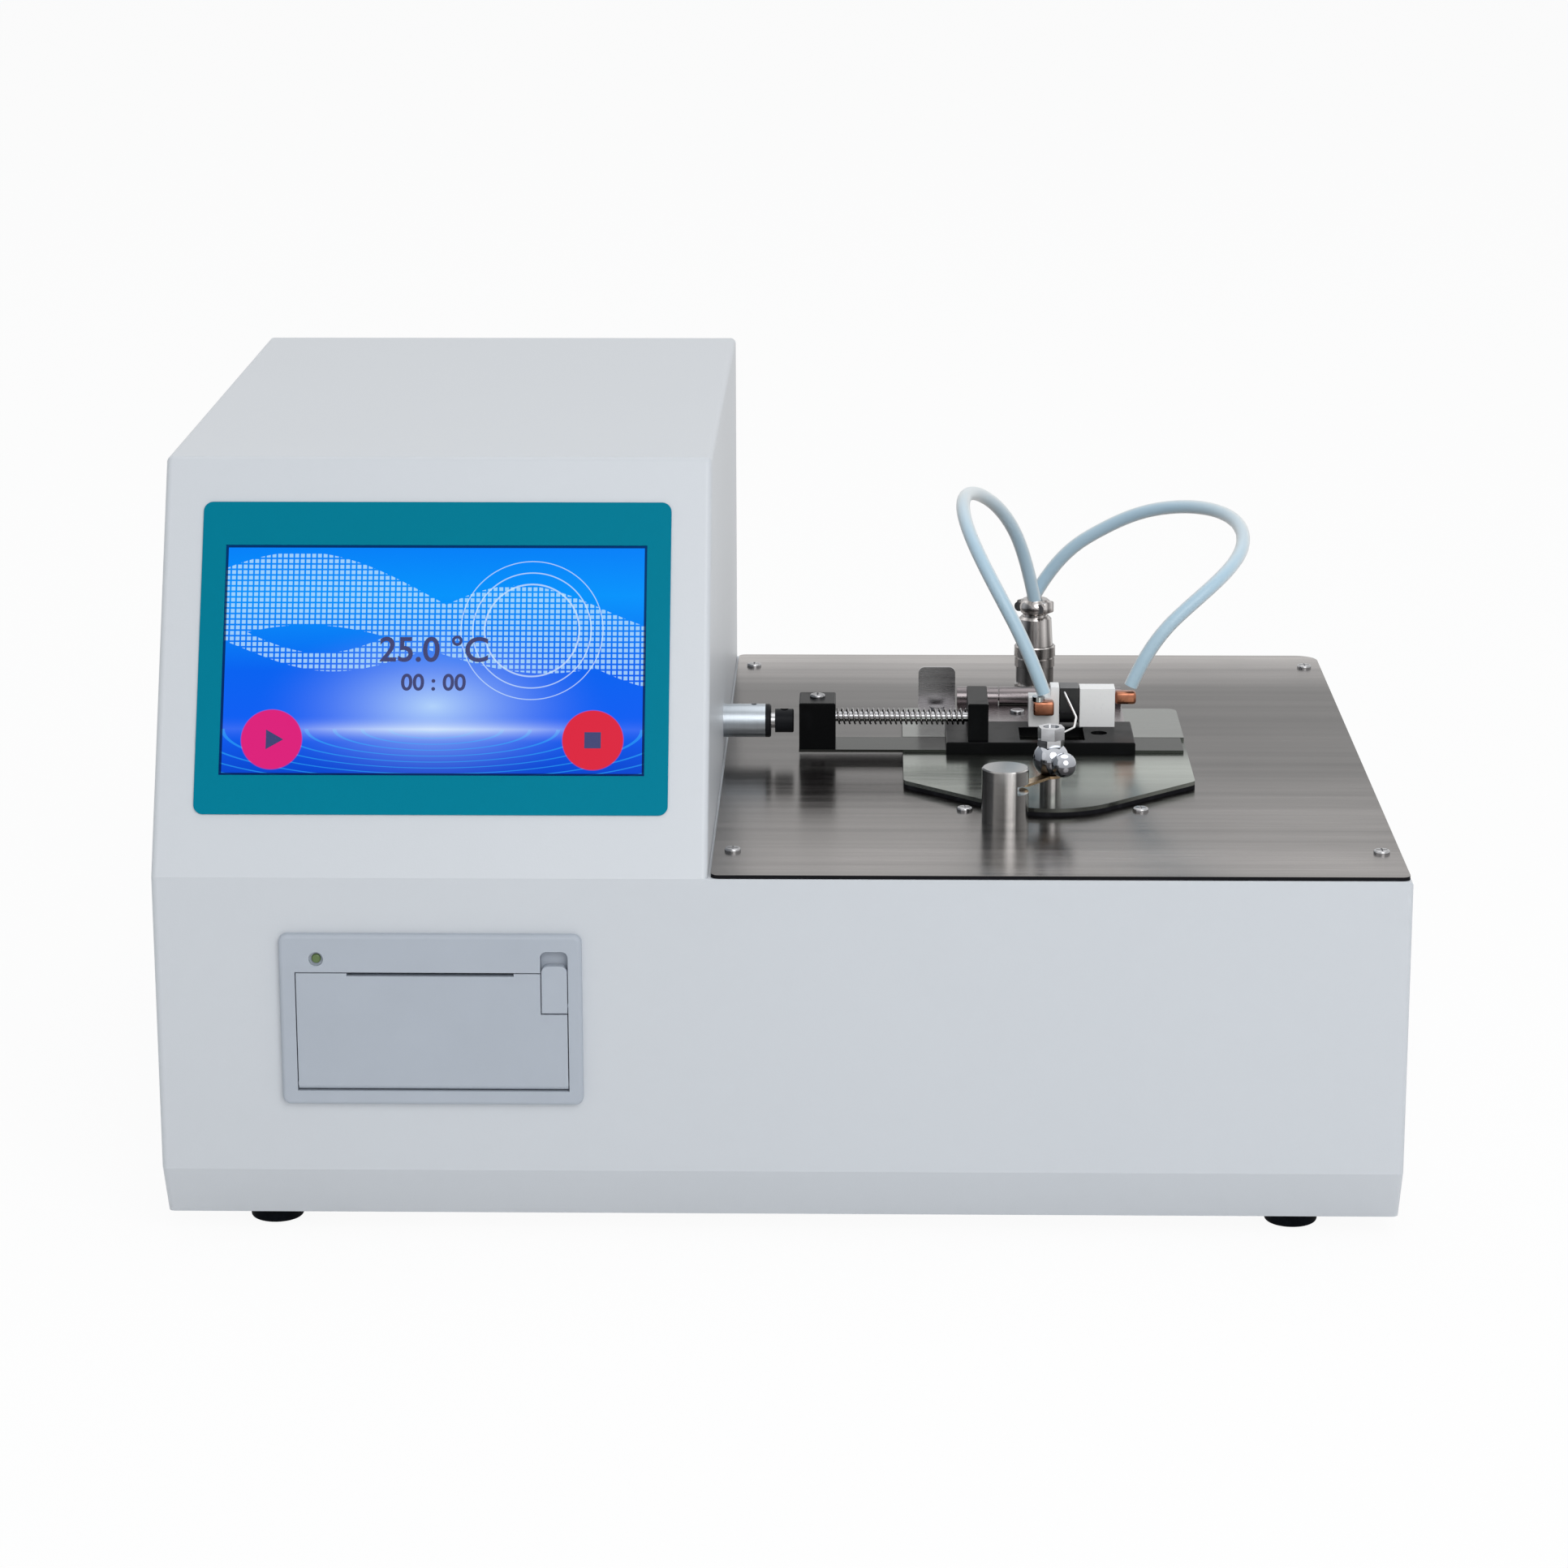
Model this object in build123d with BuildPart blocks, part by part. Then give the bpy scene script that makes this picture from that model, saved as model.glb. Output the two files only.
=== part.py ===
from build123d import *
import os
from math import cos, radians, sin, tan

# Closed-cup flash point tester, millimetres, +Z up, +Y to the back.
# Origin: middle of the footprint at the surface that the feet stand on.
# Values named from_cup are counted along X from the cup's axis, positive to the right.

# ---- Housing -------------------------------------------------------------
body_width = 450.0
body_depth = 354.0
front_height = 130.2
chamfer_height = 20.2
chamfer_run = 11.0
tower_width = 199.0
tower_height = 269.5
slope_run = 70.6
sheet = 1.5
edge_radius = 2.2
foot_height = 8.0
foot_radius = 10.2
foot_inset_x = 37.5
foot_inset_y = 30.0
foot_taper = 4.0
foot_edge = 1.2
piece_gap = 0.3
cut_margin = 1.0

# ---- Screen and its overlay ----------------------------------------------
overlay_width = 170.0
overlay_length = 116.0
overlay_thickness = 0.6
overlay_radius = 3.5
overlay_up_slope = 81.0
window_width = 152.8
window_length = 85.5
window_up_slope = 80.1
under = 10.0
screen_rim = 3.0
screen_flange = 6.0
screen_depth = 11.0

# ---- Printer -------------------------------------------------------------
bezel_width = 108.6
bezel_height = 63.8
bezel_left = 45.2
bezel_bottom = 46.0
bezel_proud = 3.0
bezel_radius = 3.0
bezel_edge = 1.6
case_wall = 2.0
case_depth = 60.0
case_side_inset = 4.0
mouth_width = 98.0
mouth_height = 44.6
mouth_left = 5.7
mouth_bottom = 5.3
door_thickness = 4.0
door_gap = 0.4
door_pin_radius = 0.9
door_pin_length = 2.0
slot_width = 60.0
slot_drop = 1.0
ear_thickness = 2.5
ear_half = 3.2
ear_drop = 16.0
lever_width = 9.3
lever_height = 17.7
lever_rise = 2.6
lever_recess = 5.6
lever_thickness = 3.4
lever_proud = 0.4
lever_round = 2.5
lever_edge = 0.5
lever_foot_gap = 0.5
recess_round = 4.6
led_radius = 1.7
led_dome = 0.6
led_length = 1.0
led_pit_radius = 2.6
led_pit_depth = 1.6
led_in = 13.5
led_up = 54.8
platen_radius = 4.5
platen_length = 72.0
platen_shaft = 1.5
platen_rise = 32.0
platen_back = 6.5
roll_radius = 19.0
roll_width = 57.0
roll_axle = 2.0
roll_axle_reach = 6.0
head_height = 9.0
head_depth = 7.0
head_bevel = 4.0

# ---- Deck ----------------------------------------------------------------
deck_side_gap = 1.0
deck_front_gap = 0.5
deck_back_gap = 3.0
deck_sheet = 1.0
deck_gasket_thickness = 0.5
deck_corner = 3.0
deck_back_corner = 9.0
shelf_flange = 22.0
screw_radius = 3.0
screw_height = 1.3
screw_slot = 0.7
screw_slot_length = 4.2
screw_edge = 0.78
deck_screw_side = 7.0
deck_screw_front = 32.5
deck_screw_back = 22.5
pair_screw_spread = 33.0
pair_screw_front = 86.0

# ---- Cup and cooler ------------------------------------------------------
cup_from_tower = 126.3
cup_bore = 25.0
cup_depth = 10.0
cup_radius = 30.0
cup_length = 30.0
cup_foot_radius = 34.0
cup_floor_radius = 1.0
cup_foot = 5.0
ring_gap = 0.2
ring_spigot = 33.0
ring_flange = 38.0
ring_thickness = 6.0
cooler_size = 40.0
cooler_thickness = 3.8
sink_width = 112.0
sink_length = 104.0
sink_base = 6.0
fin_count = 15
fin_height = 30.0
fin_thickness = 1.6
fan_size = 80.0
fan_thickness = 25.0
fan_bore = 38.0
fan_hub = 16.0
fan_blades = 7
fan_shaft = 1.5
fan_corner = 4.0
fan_spoke = 5.0
fan_spoke_depth = 4.0
fan_spoke_root = 0.5
fan_blade = 3.0
fan_blade_turn = 18.0
running_gap = 0.05
post_radius = 3.0
post_inset = 5.0

# ---- Lid -----------------------------------------------------------------
lid_half_width = 55.7
lid_back = 59.0
lid_shoulder = -53.5
lid_diagonal = 43.5
lid_nose_radius = 30.0
lid_corner = 4.0
lid_gasket_thickness = 1.5
lid_thickness = 1.5
lid_hole = 26.0
guide_thickness = 1.2
port_from_cup = 9.95
port_width = 11.5
port_length = 14.5

# ---- Lid hinge -----------------------------------------------------------
hinge_y = 61.0
hinge_radius = 4.2
hinge_half_width = 33.3
deck_knuckle_half = 16.1
knuckle_gap = 0.5
hinge_pin_radius = 1.5
leaf_thickness = 1.8
leaf_front = 29.2
deck_leaf_length = 14.0
leaf_screw_spread = 9.2
leaf_screw_y = 44.6

# ---- Shutter -------------------------------------------------------------
travel = 17.8
strip_width = 20.5
strip_thickness = 1.1
strip_left_from_cup = -96.5
strip_right_from_cup = 54.2
strip_gap = 0.05
window_overlap = 1.0
strip_window_margin = 0.5
base_left_from_cup = -38.7
base_right_from_cup = 35.2
base_front_wall = 1.4
base_back = 23.5
base_height = 4.5
channel_side_gap = 0.15
channel_top_gap = 0.15
base_window_left_from_cup = -9.8
base_window_right_from_cup = 15.7
base_window_front = -7.3
base_window_back = 13.3
bore_screw_from_cup = 21.7
bore_screw_y = 4.5
counterbore_radius = 3.3
counterbore_depth = 2.4
upright_from_cup = -30.2
upright_thickness = 7.9
upright_front = -10.0
upright_back = 21.2
upright_height = 15.0
block_from_cup = -96.4
block_length = 14.2
block_width = 19.4
block_height = 18.4
block_screw_y = 1.0
rod_rise = 12.1
rod_radius = 2.0
rod_end_from_cup = -25.8
rod_gap = 0.05
spring_radius = 3.3
spring_wire = 0.36
spring_turns = 20
spring_end_gap = 0.3

# ---- Pusher --------------------------------------------------------------
pusher_rise = 10.3
sleeve_length = 16.5
sleeve_radius = 6.6
sleeve_cap_length = 2.2
sleeve_cap_edge = 0.5
neck_length = 1.6
plunger_radius = 3.0
small_edge = 0.4
plunger_gap = 0.05
plunger_tail = 70.0
tip_length = 7.3
tip_radius = 4.7
tip_hole_radius = 1.6
set_screw_radius = 1.1
set_screw_back = 4.5
set_screw_floor = 1.0
actuator_size = 36.0
actuator_length = 42.0
actuator_flange = 50.0
actuator_flange_thickness = 3.0
actuator_corner = 3.0

# ---- Igniter -------------------------------------------------------------
terminal_front = 14.5
terminal_back = 23.5
left_terminal_from_cup = -5.7
left_terminal_length = 12.0
left_terminal_step_length = 3.3
left_terminal_low = 11.8
left_terminal_height = 16.0
right_terminal_from_cup = 14.5
right_terminal_length = 13.9
right_terminal_height = 15.4
carrier_gap = 0.4
pivot_y = 19.0
pivot_rise = 10.3
carrier_round = 5.0
carrier_height = 10.0
trunnion_radius = 1.5
trunnion_length = 3.0
wire_radius = 0.5
wire_bend = 1.5
# points of the hot wire, from the cup's axis at the height of the guide's top face
wire_points = [
    (7.94, 15.44, 15.02),
    (12.7, 5.0, 6.2),
    (11.8, 1.5, 2.9),
    (7.3, -3.5, 2.0),
]
lug_radius = 3.0
lug_collar_radius = 3.0
lug_collar_length = 5.0
left_lug_from_cup = -4.0
left_lug_length = 8.1
left_lug_rise = 13.2
right_lug_length = 8.4
right_lug_y = 18.5
right_lug_rise = 15.9
lug_seat = 0.1
lug_screw_in = 1.7
lug_screw_radius = 1.3
lug_screw_rise = 0.5

# ---- Lift tab ------------------------------------------------------------
tab_from_cup = -49.0
tab_width = 14.9
tab_height = 17.4
tab_thickness = 1.5
tab_foot = 16.0
tab_radius = 2.5
tab_screw_y = 50.5

# ---- Latch ---------------------------------------------------------------
catch_from_cup = -18.3
catch_y = -100.0
catch_radius = 8.75
catch_height = 20.3
catch_slot_low = 11.0
catch_slot_height = 3.4
catch_slot_in = 4.3
catch_edge = 0.5
latch_from_cup = -0.7
latch_y = -80.4
latch_post_radius = 4.1
latch_post_height = 8.6
bolt_radius = 2.0
tongue_thickness = 1.0
tongue_width = 4.4
tongue_length = 18.0
tongue_angle = -127.0
latch_gap = 0.05
ball_radius = 6.8
ball_centre_rise = 15.5
ball_top = 20.6
knob_radius = 4.7
knob_reach = 10.6
knob_angle = -64.5
nut_across_flats = 9.0
nut_height = 2.7
nut_turn = 12.0
head_turn = 30.0
head_rise = 4.6
head_dish_radius = 3.0
head_dish_depth = 0.6

# ---- Connector -----------------------------------------------------------
connector_from_cup = 0.3
connector_y = 117.0
socket_nut_across = 17.0
socket_nut_height = 2.4
socket_body_radius = 7.2
socket_body_height = 9.6
socket_core_radius = 6.6
socket_core_height = 18.2
ring_radius_outer = 8.5
ring_low = 9.8
ring_length = 9.5
ring_groove_low = 3.9
ring_groove = 1.0
ring_groove_depth = 0.7
ring_edge = 0.5
plug_radius = 6.45
plug_low = 18.3
plug_top = 31.8
clamp_height = 7.3
clamp_radius = 7.0
clamp_lug = 3.4
clamp_lug_reach = 8.6
clamp_lug_inset = 1.0
clamp_screw_radius = 1.4

# ---- Leads ---------------------------------------------------------------
lead_diameter = 5.5
bend_share = 0.45
# points of the leads, from the cup's axis at the height of the lid's top face
lead_left_points = [
    (0.13, 114.55, 33.01),
    (-4.3, 110.7, 54.6),
    (-10.9, 103.0, 70.8),
    (-20.2, 90.6, 82.1),
    (-28.3, 74.4, 88.3),
    (-32.5, 55.7, 87.9),
    (-30.6, 38.2, 80.4),
    (-24.1, 25.0, 68.1),
    (-15.3, 17.3, 52.8),
    (-6.3, 13.4, 36.3),
    (0.2, 11.4, 18.6),
]
lead_right_points = [
    (-0.88, 120.29, 33.28),
    (9.2, 118.3, 52.5),
    (25.7, 114.1, 64.0),
    (42.4, 107.8, 73.4),
    (59.0, 97.3, 78.0),
    (73.0, 82.7, 79.2),
    (81.4, 64.5, 76.8),
    (81.3, 45.3, 70.4),
    (71.7, 29.9, 62.3),
    (57.1, 21.3, 51.9),
    (42.3, 18.5, 38.1),
    (34.83, 18.5, 20.25),
]

# ---- Inside the housing and at the back ----------------------------------
board_length = 130.0
board_width = 95.0
board_thickness = 1.6
board_inset = 6.0
chip_size = 28.0
chip_height = 6.0
module_width = 16.0
module_length = 60.0
header_width = 9.0
header_length = 80.0
board_in = 90.0
board_from_back = 107.0
standoff_height = 8.0
standoff_radius = 3.0
supply_length = 130.0
supply_width = 72.0
supply_height = 38.0
supply_edge = 2.0
supply_from_tower = 14.0
supply_from_back = 117.0
inlet_in = 75.0
inlet_z = 60.0
inlet_width = 48.0
inlet_height = 28.0
inlet_depth = 28.0
inlet_flange = 4.0
inlet_flange_thickness = 2.0
socket_width = 24.0
socket_height = 16.5
socket_depth = 17.0
socket_pin_length = 11.0
rocker_width = 12.0
rocker_height = 20.0
rocker_depth = 7.0
rocker_angle = 8.0
rocker_axle = 1.5
rocker_side_gap = 1.0
inlet_wall = 3.0
pin_spread = 7.0
pin_width = 2.0
pin_height = 4.0
vent_slots = 9
vent_pitch = 9.0
vent_width = 3.5
vent_length = 46.0
vent_z = 66.0
vent_from_cup = 9.7
tower_vent_in = 100.0
tower_vent_z = 205.0

# ---- Derived places ------------------------------------------------------
left_x = -body_width / 2
right_x = body_width / 2
front_y = -body_depth / 2
back_y = body_depth / 2
base_z = foot_height
shelf_z = base_z + front_height
tower_z = base_z + tower_height
tower_right = left_x + tower_width
tower_x = left_x + tower_width / 2
cup_x = tower_right + cup_from_tower
cup_y = (front_y + back_y) / 2
deck_gasket_top = shelf_z + deck_gasket_thickness
deck_top = deck_gasket_top + deck_sheet
lid_plate_z = deck_top + lid_gasket_thickness
lid_top = lid_plate_z + lid_thickness
guide_top = lid_top + guide_thickness
strip_z = lid_top + strip_gap
strip_top = strip_z + strip_thickness
base_top = lid_top + base_height
floor_z = base_z + sheet
hinge_z = guide_top + hinge_radius
rod_z = lid_top + rod_rise
pusher_z = lid_top + pusher_rise
pivot_z = lid_top + pivot_rise
left_lug_z = lid_top + left_lug_rise
right_lug_z = lid_top + right_lug_rise
port_x = cup_x + port_from_cup
strip_left = cup_x + strip_left_from_cup
strip_right = cup_x + strip_right_from_cup
base_left = cup_x + base_left_from_cup
base_right = cup_x + base_right_from_cup
base_window_left = cup_x + base_window_left_from_cup
base_window_right = cup_x + base_window_right_from_cup
bore_screw_x = cup_x + bore_screw_from_cup
upright_left = cup_x + upright_from_cup
block_left = cup_x + block_from_cup
rod_end = cup_x + rod_end_from_cup
left_terminal_left = cup_x + left_terminal_from_cup
left_terminal_right = left_terminal_left + left_terminal_length
left_terminal_step = left_terminal_right - left_terminal_step_length
right_terminal_left = cup_x + right_terminal_from_cup
right_terminal_right = right_terminal_left + right_terminal_length
left_lug_left = cup_x + left_lug_from_cup
lug_screw_x = left_lug_left + lug_screw_in
tab_left = cup_x + tab_from_cup
catch_x = cup_x + catch_from_cup
latch_x = cup_x + latch_from_cup
connector_x = cup_x + connector_from_cup
board_x = left_x + board_in
board_y = back_y - board_from_back
supply_x = tower_right + supply_from_tower
supply_y = back_y - supply_from_back
inlet_x = left_x + inlet_in
vent_x = cup_x + vent_from_cup
tower_vent_x = left_x + tower_vent_in
wire_route = [(cup_x + x, cup_y + y, base_top + z) for x, y, z in wire_points]
lead_left_route = [(cup_x + x, cup_y + y, lid_top + z) for x, y, z in lead_left_points]
lead_right_route = [(cup_x + x, cup_y + y, lid_top + z) for x, y, z in lead_right_points]
slope_plane = Plane(
    origin=(tower_x, front_y, shelf_z),
    x_dir=(1, 0, 0),
    z_dir=(0, shelf_z - tower_z, slope_run),
)

os.makedirs("parts", exist_ok=True)


def save(piece, name):
    """Label a finished sub-part and write it as its own STEP file."""
    piece.part.label = name
    export_step(piece.part, f"parts/{name}.step")


# ---- Housing: a folded sheet shell, open below, with its cut-outs --------
case_left = left_x + bezel_left
case_bottom = base_z + bezel_bottom
case_x = case_left + bezel_width / 2
case_z = case_bottom + bezel_height / 2
case_width = bezel_width - 2 * case_side_inset
case_height = bezel_height - 2 * case_side_inset
screen_width = window_width + 2 * screen_rim
screen_length = window_length + 2 * screen_rim
chamfer_slope = chamfer_run / chamfer_height
deck_left = tower_right + deck_side_gap
deck_right = right_x - deck_side_gap
deck_front = front_y + deck_front_gap
deck_back = back_y - deck_back_gap
shelf_left = tower_right + shelf_flange
shelf_right = right_x - shelf_flange
shelf_front = front_y + shelf_flange
shelf_back = back_y - shelf_flange


def on_a_side(edge):
    """True for an edge lying in the left, right or tower's inner side wall."""
    box = edge.bounding_box()
    flat = box.max.X - box.min.X < piece_gap
    return flat and min(abs(box.min.X - x) for x in (left_x, right_x, tower_right)) < piece_gap


def above_the_base(edge):
    """True for an edge off the bottom rim and off the foot of the tower's wall."""
    box = edge.bounding_box()
    at_shelf = box.min.Z > shelf_z - piece_gap and box.max.Z < shelf_z + piece_gap
    at_tower = abs(box.min.X - tower_right) < piece_gap
    return box.max.Z > base_z + piece_gap and not (at_shelf and at_tower)


with BuildPart() as housing:
    with BuildSketch(Plane.YZ.offset(left_x)):
        with BuildLine():
            Polyline(
                (front_y + chamfer_run, base_z),
                (front_y, base_z + chamfer_height),
                (front_y, shelf_z),
                (back_y, shelf_z),
                (back_y, base_z),
                close=True,
            )
        make_face()
    extrude(amount=body_width)
    with BuildSketch(Plane.YZ.offset(left_x)):
        with BuildLine():
            Polyline(
                (front_y, shelf_z),
                (front_y + slope_run, tower_z),
                (back_y, tower_z),
                (back_y, shelf_z),
                close=True,
            )
        make_face()
    extrude(amount=tower_width)
    side_edges = housing.edges().filter_by(on_a_side).filter_by(above_the_base)
    crown_edges = housing.faces().sort_by(Axis.Z)[-1].edges().filter_by(Axis.X)
    fillet(side_edges + crown_edges, edge_radius)
    # hollow of the low body, running out through the bottom
    with BuildSketch(Plane.YZ.offset(left_x + sheet)):
        with BuildLine():
            Polyline(
                (front_y + chamfer_run + under * chamfer_slope, base_z - under),
                (front_y, base_z + chamfer_height),
                (front_y, shelf_z),
                (back_y, shelf_z),
                (back_y, base_z - under),
                close=True,
            )
        make_face()
        offset(amount=-sheet, kind=Kind.INTERSECTION, mode=Mode.REPLACE)
    extrude(amount=body_width - 2 * sheet, mode=Mode.SUBTRACT)
    # hollow of the tower, running down into the low body
    with BuildSketch(Plane.YZ.offset(left_x + sheet)):
        with BuildLine():
            Polyline(
                (front_y, shelf_z - under),
                (front_y, shelf_z),
                (front_y + slope_run, tower_z),
                (back_y, tower_z),
                (back_y, shelf_z - under),
                close=True,
            )
        make_face()
        offset(amount=-sheet, kind=Kind.INTERSECTION, mode=Mode.REPLACE)
    extrude(amount=tower_width - 2 * sheet, mode=Mode.SUBTRACT)
    # openings: screen, printer, deck, pusher, mains inlet and air slots
    with BuildSketch(slope_plane.offset(cut_margin)):
        with Locations((0, window_up_slope)):
            Rectangle(screen_width + 2 * piece_gap, screen_length + 2 * piece_gap)
    extrude(amount=-2 * sheet - cut_margin, mode=Mode.SUBTRACT)
    with BuildSketch(Plane.XZ.offset(-front_y + cut_margin)):
        with Locations((case_x, case_z)):
            Rectangle(case_width + 2 * piece_gap, case_height + 2 * piece_gap)
    extrude(amount=-2 * sheet - cut_margin, mode=Mode.SUBTRACT)
    with BuildSketch(Plane.XY.offset(shelf_z + cut_margin)):
        with Locations(((shelf_left + shelf_right) / 2, (shelf_front + shelf_back) / 2)):
            RectangleRounded(shelf_right - shelf_left, shelf_back - shelf_front, shelf_flange / 2)
    extrude(amount=-2 * sheet - cut_margin, mode=Mode.SUBTRACT)
    with BuildSketch(Plane.YZ.offset(tower_right + cut_margin)):
        with Locations((cup_y, pusher_z)):
            Circle(plunger_radius + piece_gap)
    extrude(amount=-2 * sheet - cut_margin, mode=Mode.SUBTRACT)
    with BuildSketch(Plane.XZ.offset(-back_y - cut_margin)):
        with Locations((inlet_x, inlet_z)):
            Rectangle(inlet_width + 2 * piece_gap, inlet_height + 2 * piece_gap)
        with Locations((vent_x, vent_z), (tower_vent_x, tower_vent_z)):
            with GridLocations(vent_pitch, 0, vent_slots, 1):
                SlotOverall(vent_length, vent_width, rotation=90)
    extrude(amount=2 * sheet + cut_margin, mode=Mode.SUBTRACT)
save(housing, "housing")

# ---- Base plate with pillars for the board, the supply and the cooler ----
plate_front = front_y + chamfer_run + sheet + 2 * piece_gap
plate_back = back_y - sheet - piece_gap
plate_width = body_width - 2 * sheet - 2 * piece_gap
sink_bottom = deck_top - cup_length - cooler_thickness - sink_base
with BuildPart() as base_plate:
    with BuildSketch(Plane.XY.offset(base_z)):
        with Locations((0, (plate_front + plate_back) / 2)):
            Rectangle(plate_width, plate_back - plate_front)
    extrude(amount=sheet)
    with BuildSketch(Plane.XY.offset(floor_z)):
        with Locations((board_x, board_y)):
            with GridLocations(board_length - 2 * board_inset, board_width - 2 * board_inset, 2, 2):
                Circle(standoff_radius)
    extrude(amount=standoff_height)
    with BuildSketch(Plane.XY.offset(floor_z)):
        with Locations((cup_x, cup_y)):
            with GridLocations(sink_width - 2 * post_inset, sink_length - 2 * post_inset, 2, 2):
                Circle(post_radius)
    extrude(amount=sink_bottom - floor_z)
save(base_plate, "base_plate")

# ---- Feet: four rubber cones under the corners of the base plate ---------
with BuildPart() as feet:
    with BuildSketch(Plane.XY.offset(base_z)):
        with GridLocations(body_width - 2 * foot_inset_x, body_depth - 2 * foot_inset_y, 2, 2):
            Circle(foot_radius)
    extrude(amount=-foot_height, taper=foot_taper)
    fillet(feet.edges().group_by(Axis.Z)[0], foot_edge)
save(feet, "feet")

# ---- Screen module and the overlay over its rim --------------------------
with BuildPart() as screen_module:
    with BuildSketch(slope_plane):
        with Locations((0, window_up_slope)):
            Rectangle(screen_width, screen_length)
    extrude(amount=-sheet)
    with BuildSketch(slope_plane.offset(-sheet)):
        with Locations((0, window_up_slope)):
            Rectangle(screen_width + 2 * screen_flange, screen_length + 2 * screen_flange)
    extrude(amount=-screen_depth)
save(screen_module, "screen_module")

with BuildPart() as front_overlay:
    with BuildSketch(slope_plane):
        with Locations((0, overlay_up_slope)):
            RectangleRounded(overlay_width, overlay_length, overlay_radius)
        with Locations((0, window_up_slope)):
            Rectangle(window_width, window_length, mode=Mode.SUBTRACT)
    extrude(amount=overlay_thickness)
save(front_overlay, "front_overlay")

# ---- Printer case: a bezel outside the front and a paper tray behind it --
bezel_y = front_y - bezel_proud
mouth_x = case_left + mouth_left + mouth_width / 2
mouth_z = case_bottom + mouth_bottom + mouth_height / 2
mouth_top = mouth_z + mouth_height / 2
mouth_right = mouth_x + mouth_width / 2
lever_x = mouth_right - lever_width / 2 - piece_gap
lever_top = mouth_top + lever_rise
lever_z = lever_top - lever_height / 2
led_x = case_left + led_in
led_z = case_bottom + led_up
roll_y = front_y + case_depth - case_wall - piece_gap - roll_radius
roll_z = case_z - case_height / 2 + case_wall + piece_gap + roll_radius
lever_y = bezel_y - lever_proud
pin_y = lever_y + lever_thickness / 2
pin_z = lever_z - lever_height / 2 + lever_round
door_pivot_y = bezel_y + door_thickness / 2
door_pivot_z = mouth_z - mouth_height / 2 + door_gap + door_thickness / 2
tray_width = case_width - 2 * case_wall
door_left = mouth_x - mouth_width / 2 + door_gap
door_right = mouth_right - door_gap
door_bottom = mouth_z - mouth_height / 2 + door_gap
door_top = mouth_top - door_gap
notch_left = lever_x - lever_width / 2 - piece_gap
notch_bottom = lever_z - lever_height / 2 - lever_foot_gap
with BuildPart() as printer_case:
    with BuildSketch(Plane.XZ.offset(-bezel_y)):
        with Locations((case_x, case_z)):
            RectangleRounded(bezel_width, bezel_height, bezel_radius)
    extrude(amount=-bezel_proud)
    fillet(printer_case.faces().sort_by(Axis.Y)[0].edges(), bezel_edge)
    with BuildSketch(Plane.XZ.offset(-front_y)):
        with Locations((case_x, case_z)):
            Rectangle(case_width, case_height)
    extrude(amount=-case_depth)
    # tray for the roll, open to the front through the door mouth
    with BuildSketch(Plane.XZ.offset(-front_y - sheet)):
        with Locations((case_x, case_z)):
            Rectangle(tray_width, case_height - 2 * case_wall)
    extrude(amount=-(case_depth - sheet - case_wall), mode=Mode.SUBTRACT)
    with BuildSketch(Plane.XZ.offset(-bezel_y)):
        with Locations((mouth_x, mouth_z)):
            Rectangle(mouth_width, mouth_height)
        with Locations((lever_x, mouth_top)):
            Rectangle(lever_width + 2 * piece_gap, 2 * lever_recess)
        with Locations((lever_x, mouth_top + lever_recess)):
            SlotOverall(lever_width + 2 * piece_gap, recess_round)
    extrude(amount=-2 * door_thickness, mode=Mode.SUBTRACT)
    with BuildSketch(Plane.XZ.offset(-bezel_y)):
        with Locations((led_x, led_z)):
            Circle(led_pit_radius)
    extrude(amount=-led_pit_depth, mode=Mode.SUBTRACT)
    # blind bores for the pins of the door and of the lever
    with BuildSketch(Plane.YZ.offset(door_left - door_pin_length)):
        with Locations((door_pivot_y, door_pivot_z)):
            Circle(door_pin_radius + running_gap)
    extrude(amount=door_right - door_left + 2 * door_pin_length, mode=Mode.SUBTRACT)
    with BuildSketch(Plane.YZ.offset(lever_x)):
        with Locations((pin_y, pin_z)):
            Circle(door_pin_radius + running_gap)
    extrude(amount=lever_width / 2 + door_pin_length, mode=Mode.SUBTRACT)
    # stub axles of the roll on the tray's side walls
    for side in (-1, 1):
        with BuildSketch(Plane.YZ.offset(case_x + side * tray_width / 2)):
            with Locations((roll_y, roll_z)):
                Circle(roll_axle)
        extrude(amount=-side * ((tray_width - roll_width) / 2 + roll_axle_reach))
save(printer_case, "printer_case")

with BuildPart() as printer_led:
    with BuildSketch(Plane.XZ.offset(-bezel_y - led_pit_depth)):
        with Locations((led_x, led_z)):
            Circle(led_radius)
    extrude(amount=led_length)
    fillet(printer_led.edges().group_by(Axis.Y)[0], led_dome)
save(printer_led, "printer_led")

# ---- Print head: a bar across the tray above the platen ------------------
platen_y = door_pivot_y + platen_back
platen_z = door_pivot_z + platen_rise
head_y = platen_y + platen_radius + piece_gap
with BuildPart() as print_head:
    with BuildSketch(Plane.YZ.offset(case_x - tray_width / 2)):
        with BuildLine():
            Polyline(
                (head_y, platen_z - door_gap),
                (head_y, platen_z + head_height),
                (head_y + head_depth, platen_z + head_height),
                (head_y + head_depth, platen_z + head_bevel),
                close=True,
            )
        make_face()
    extrude(amount=tray_width)
save(print_head, "print_head")

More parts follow.
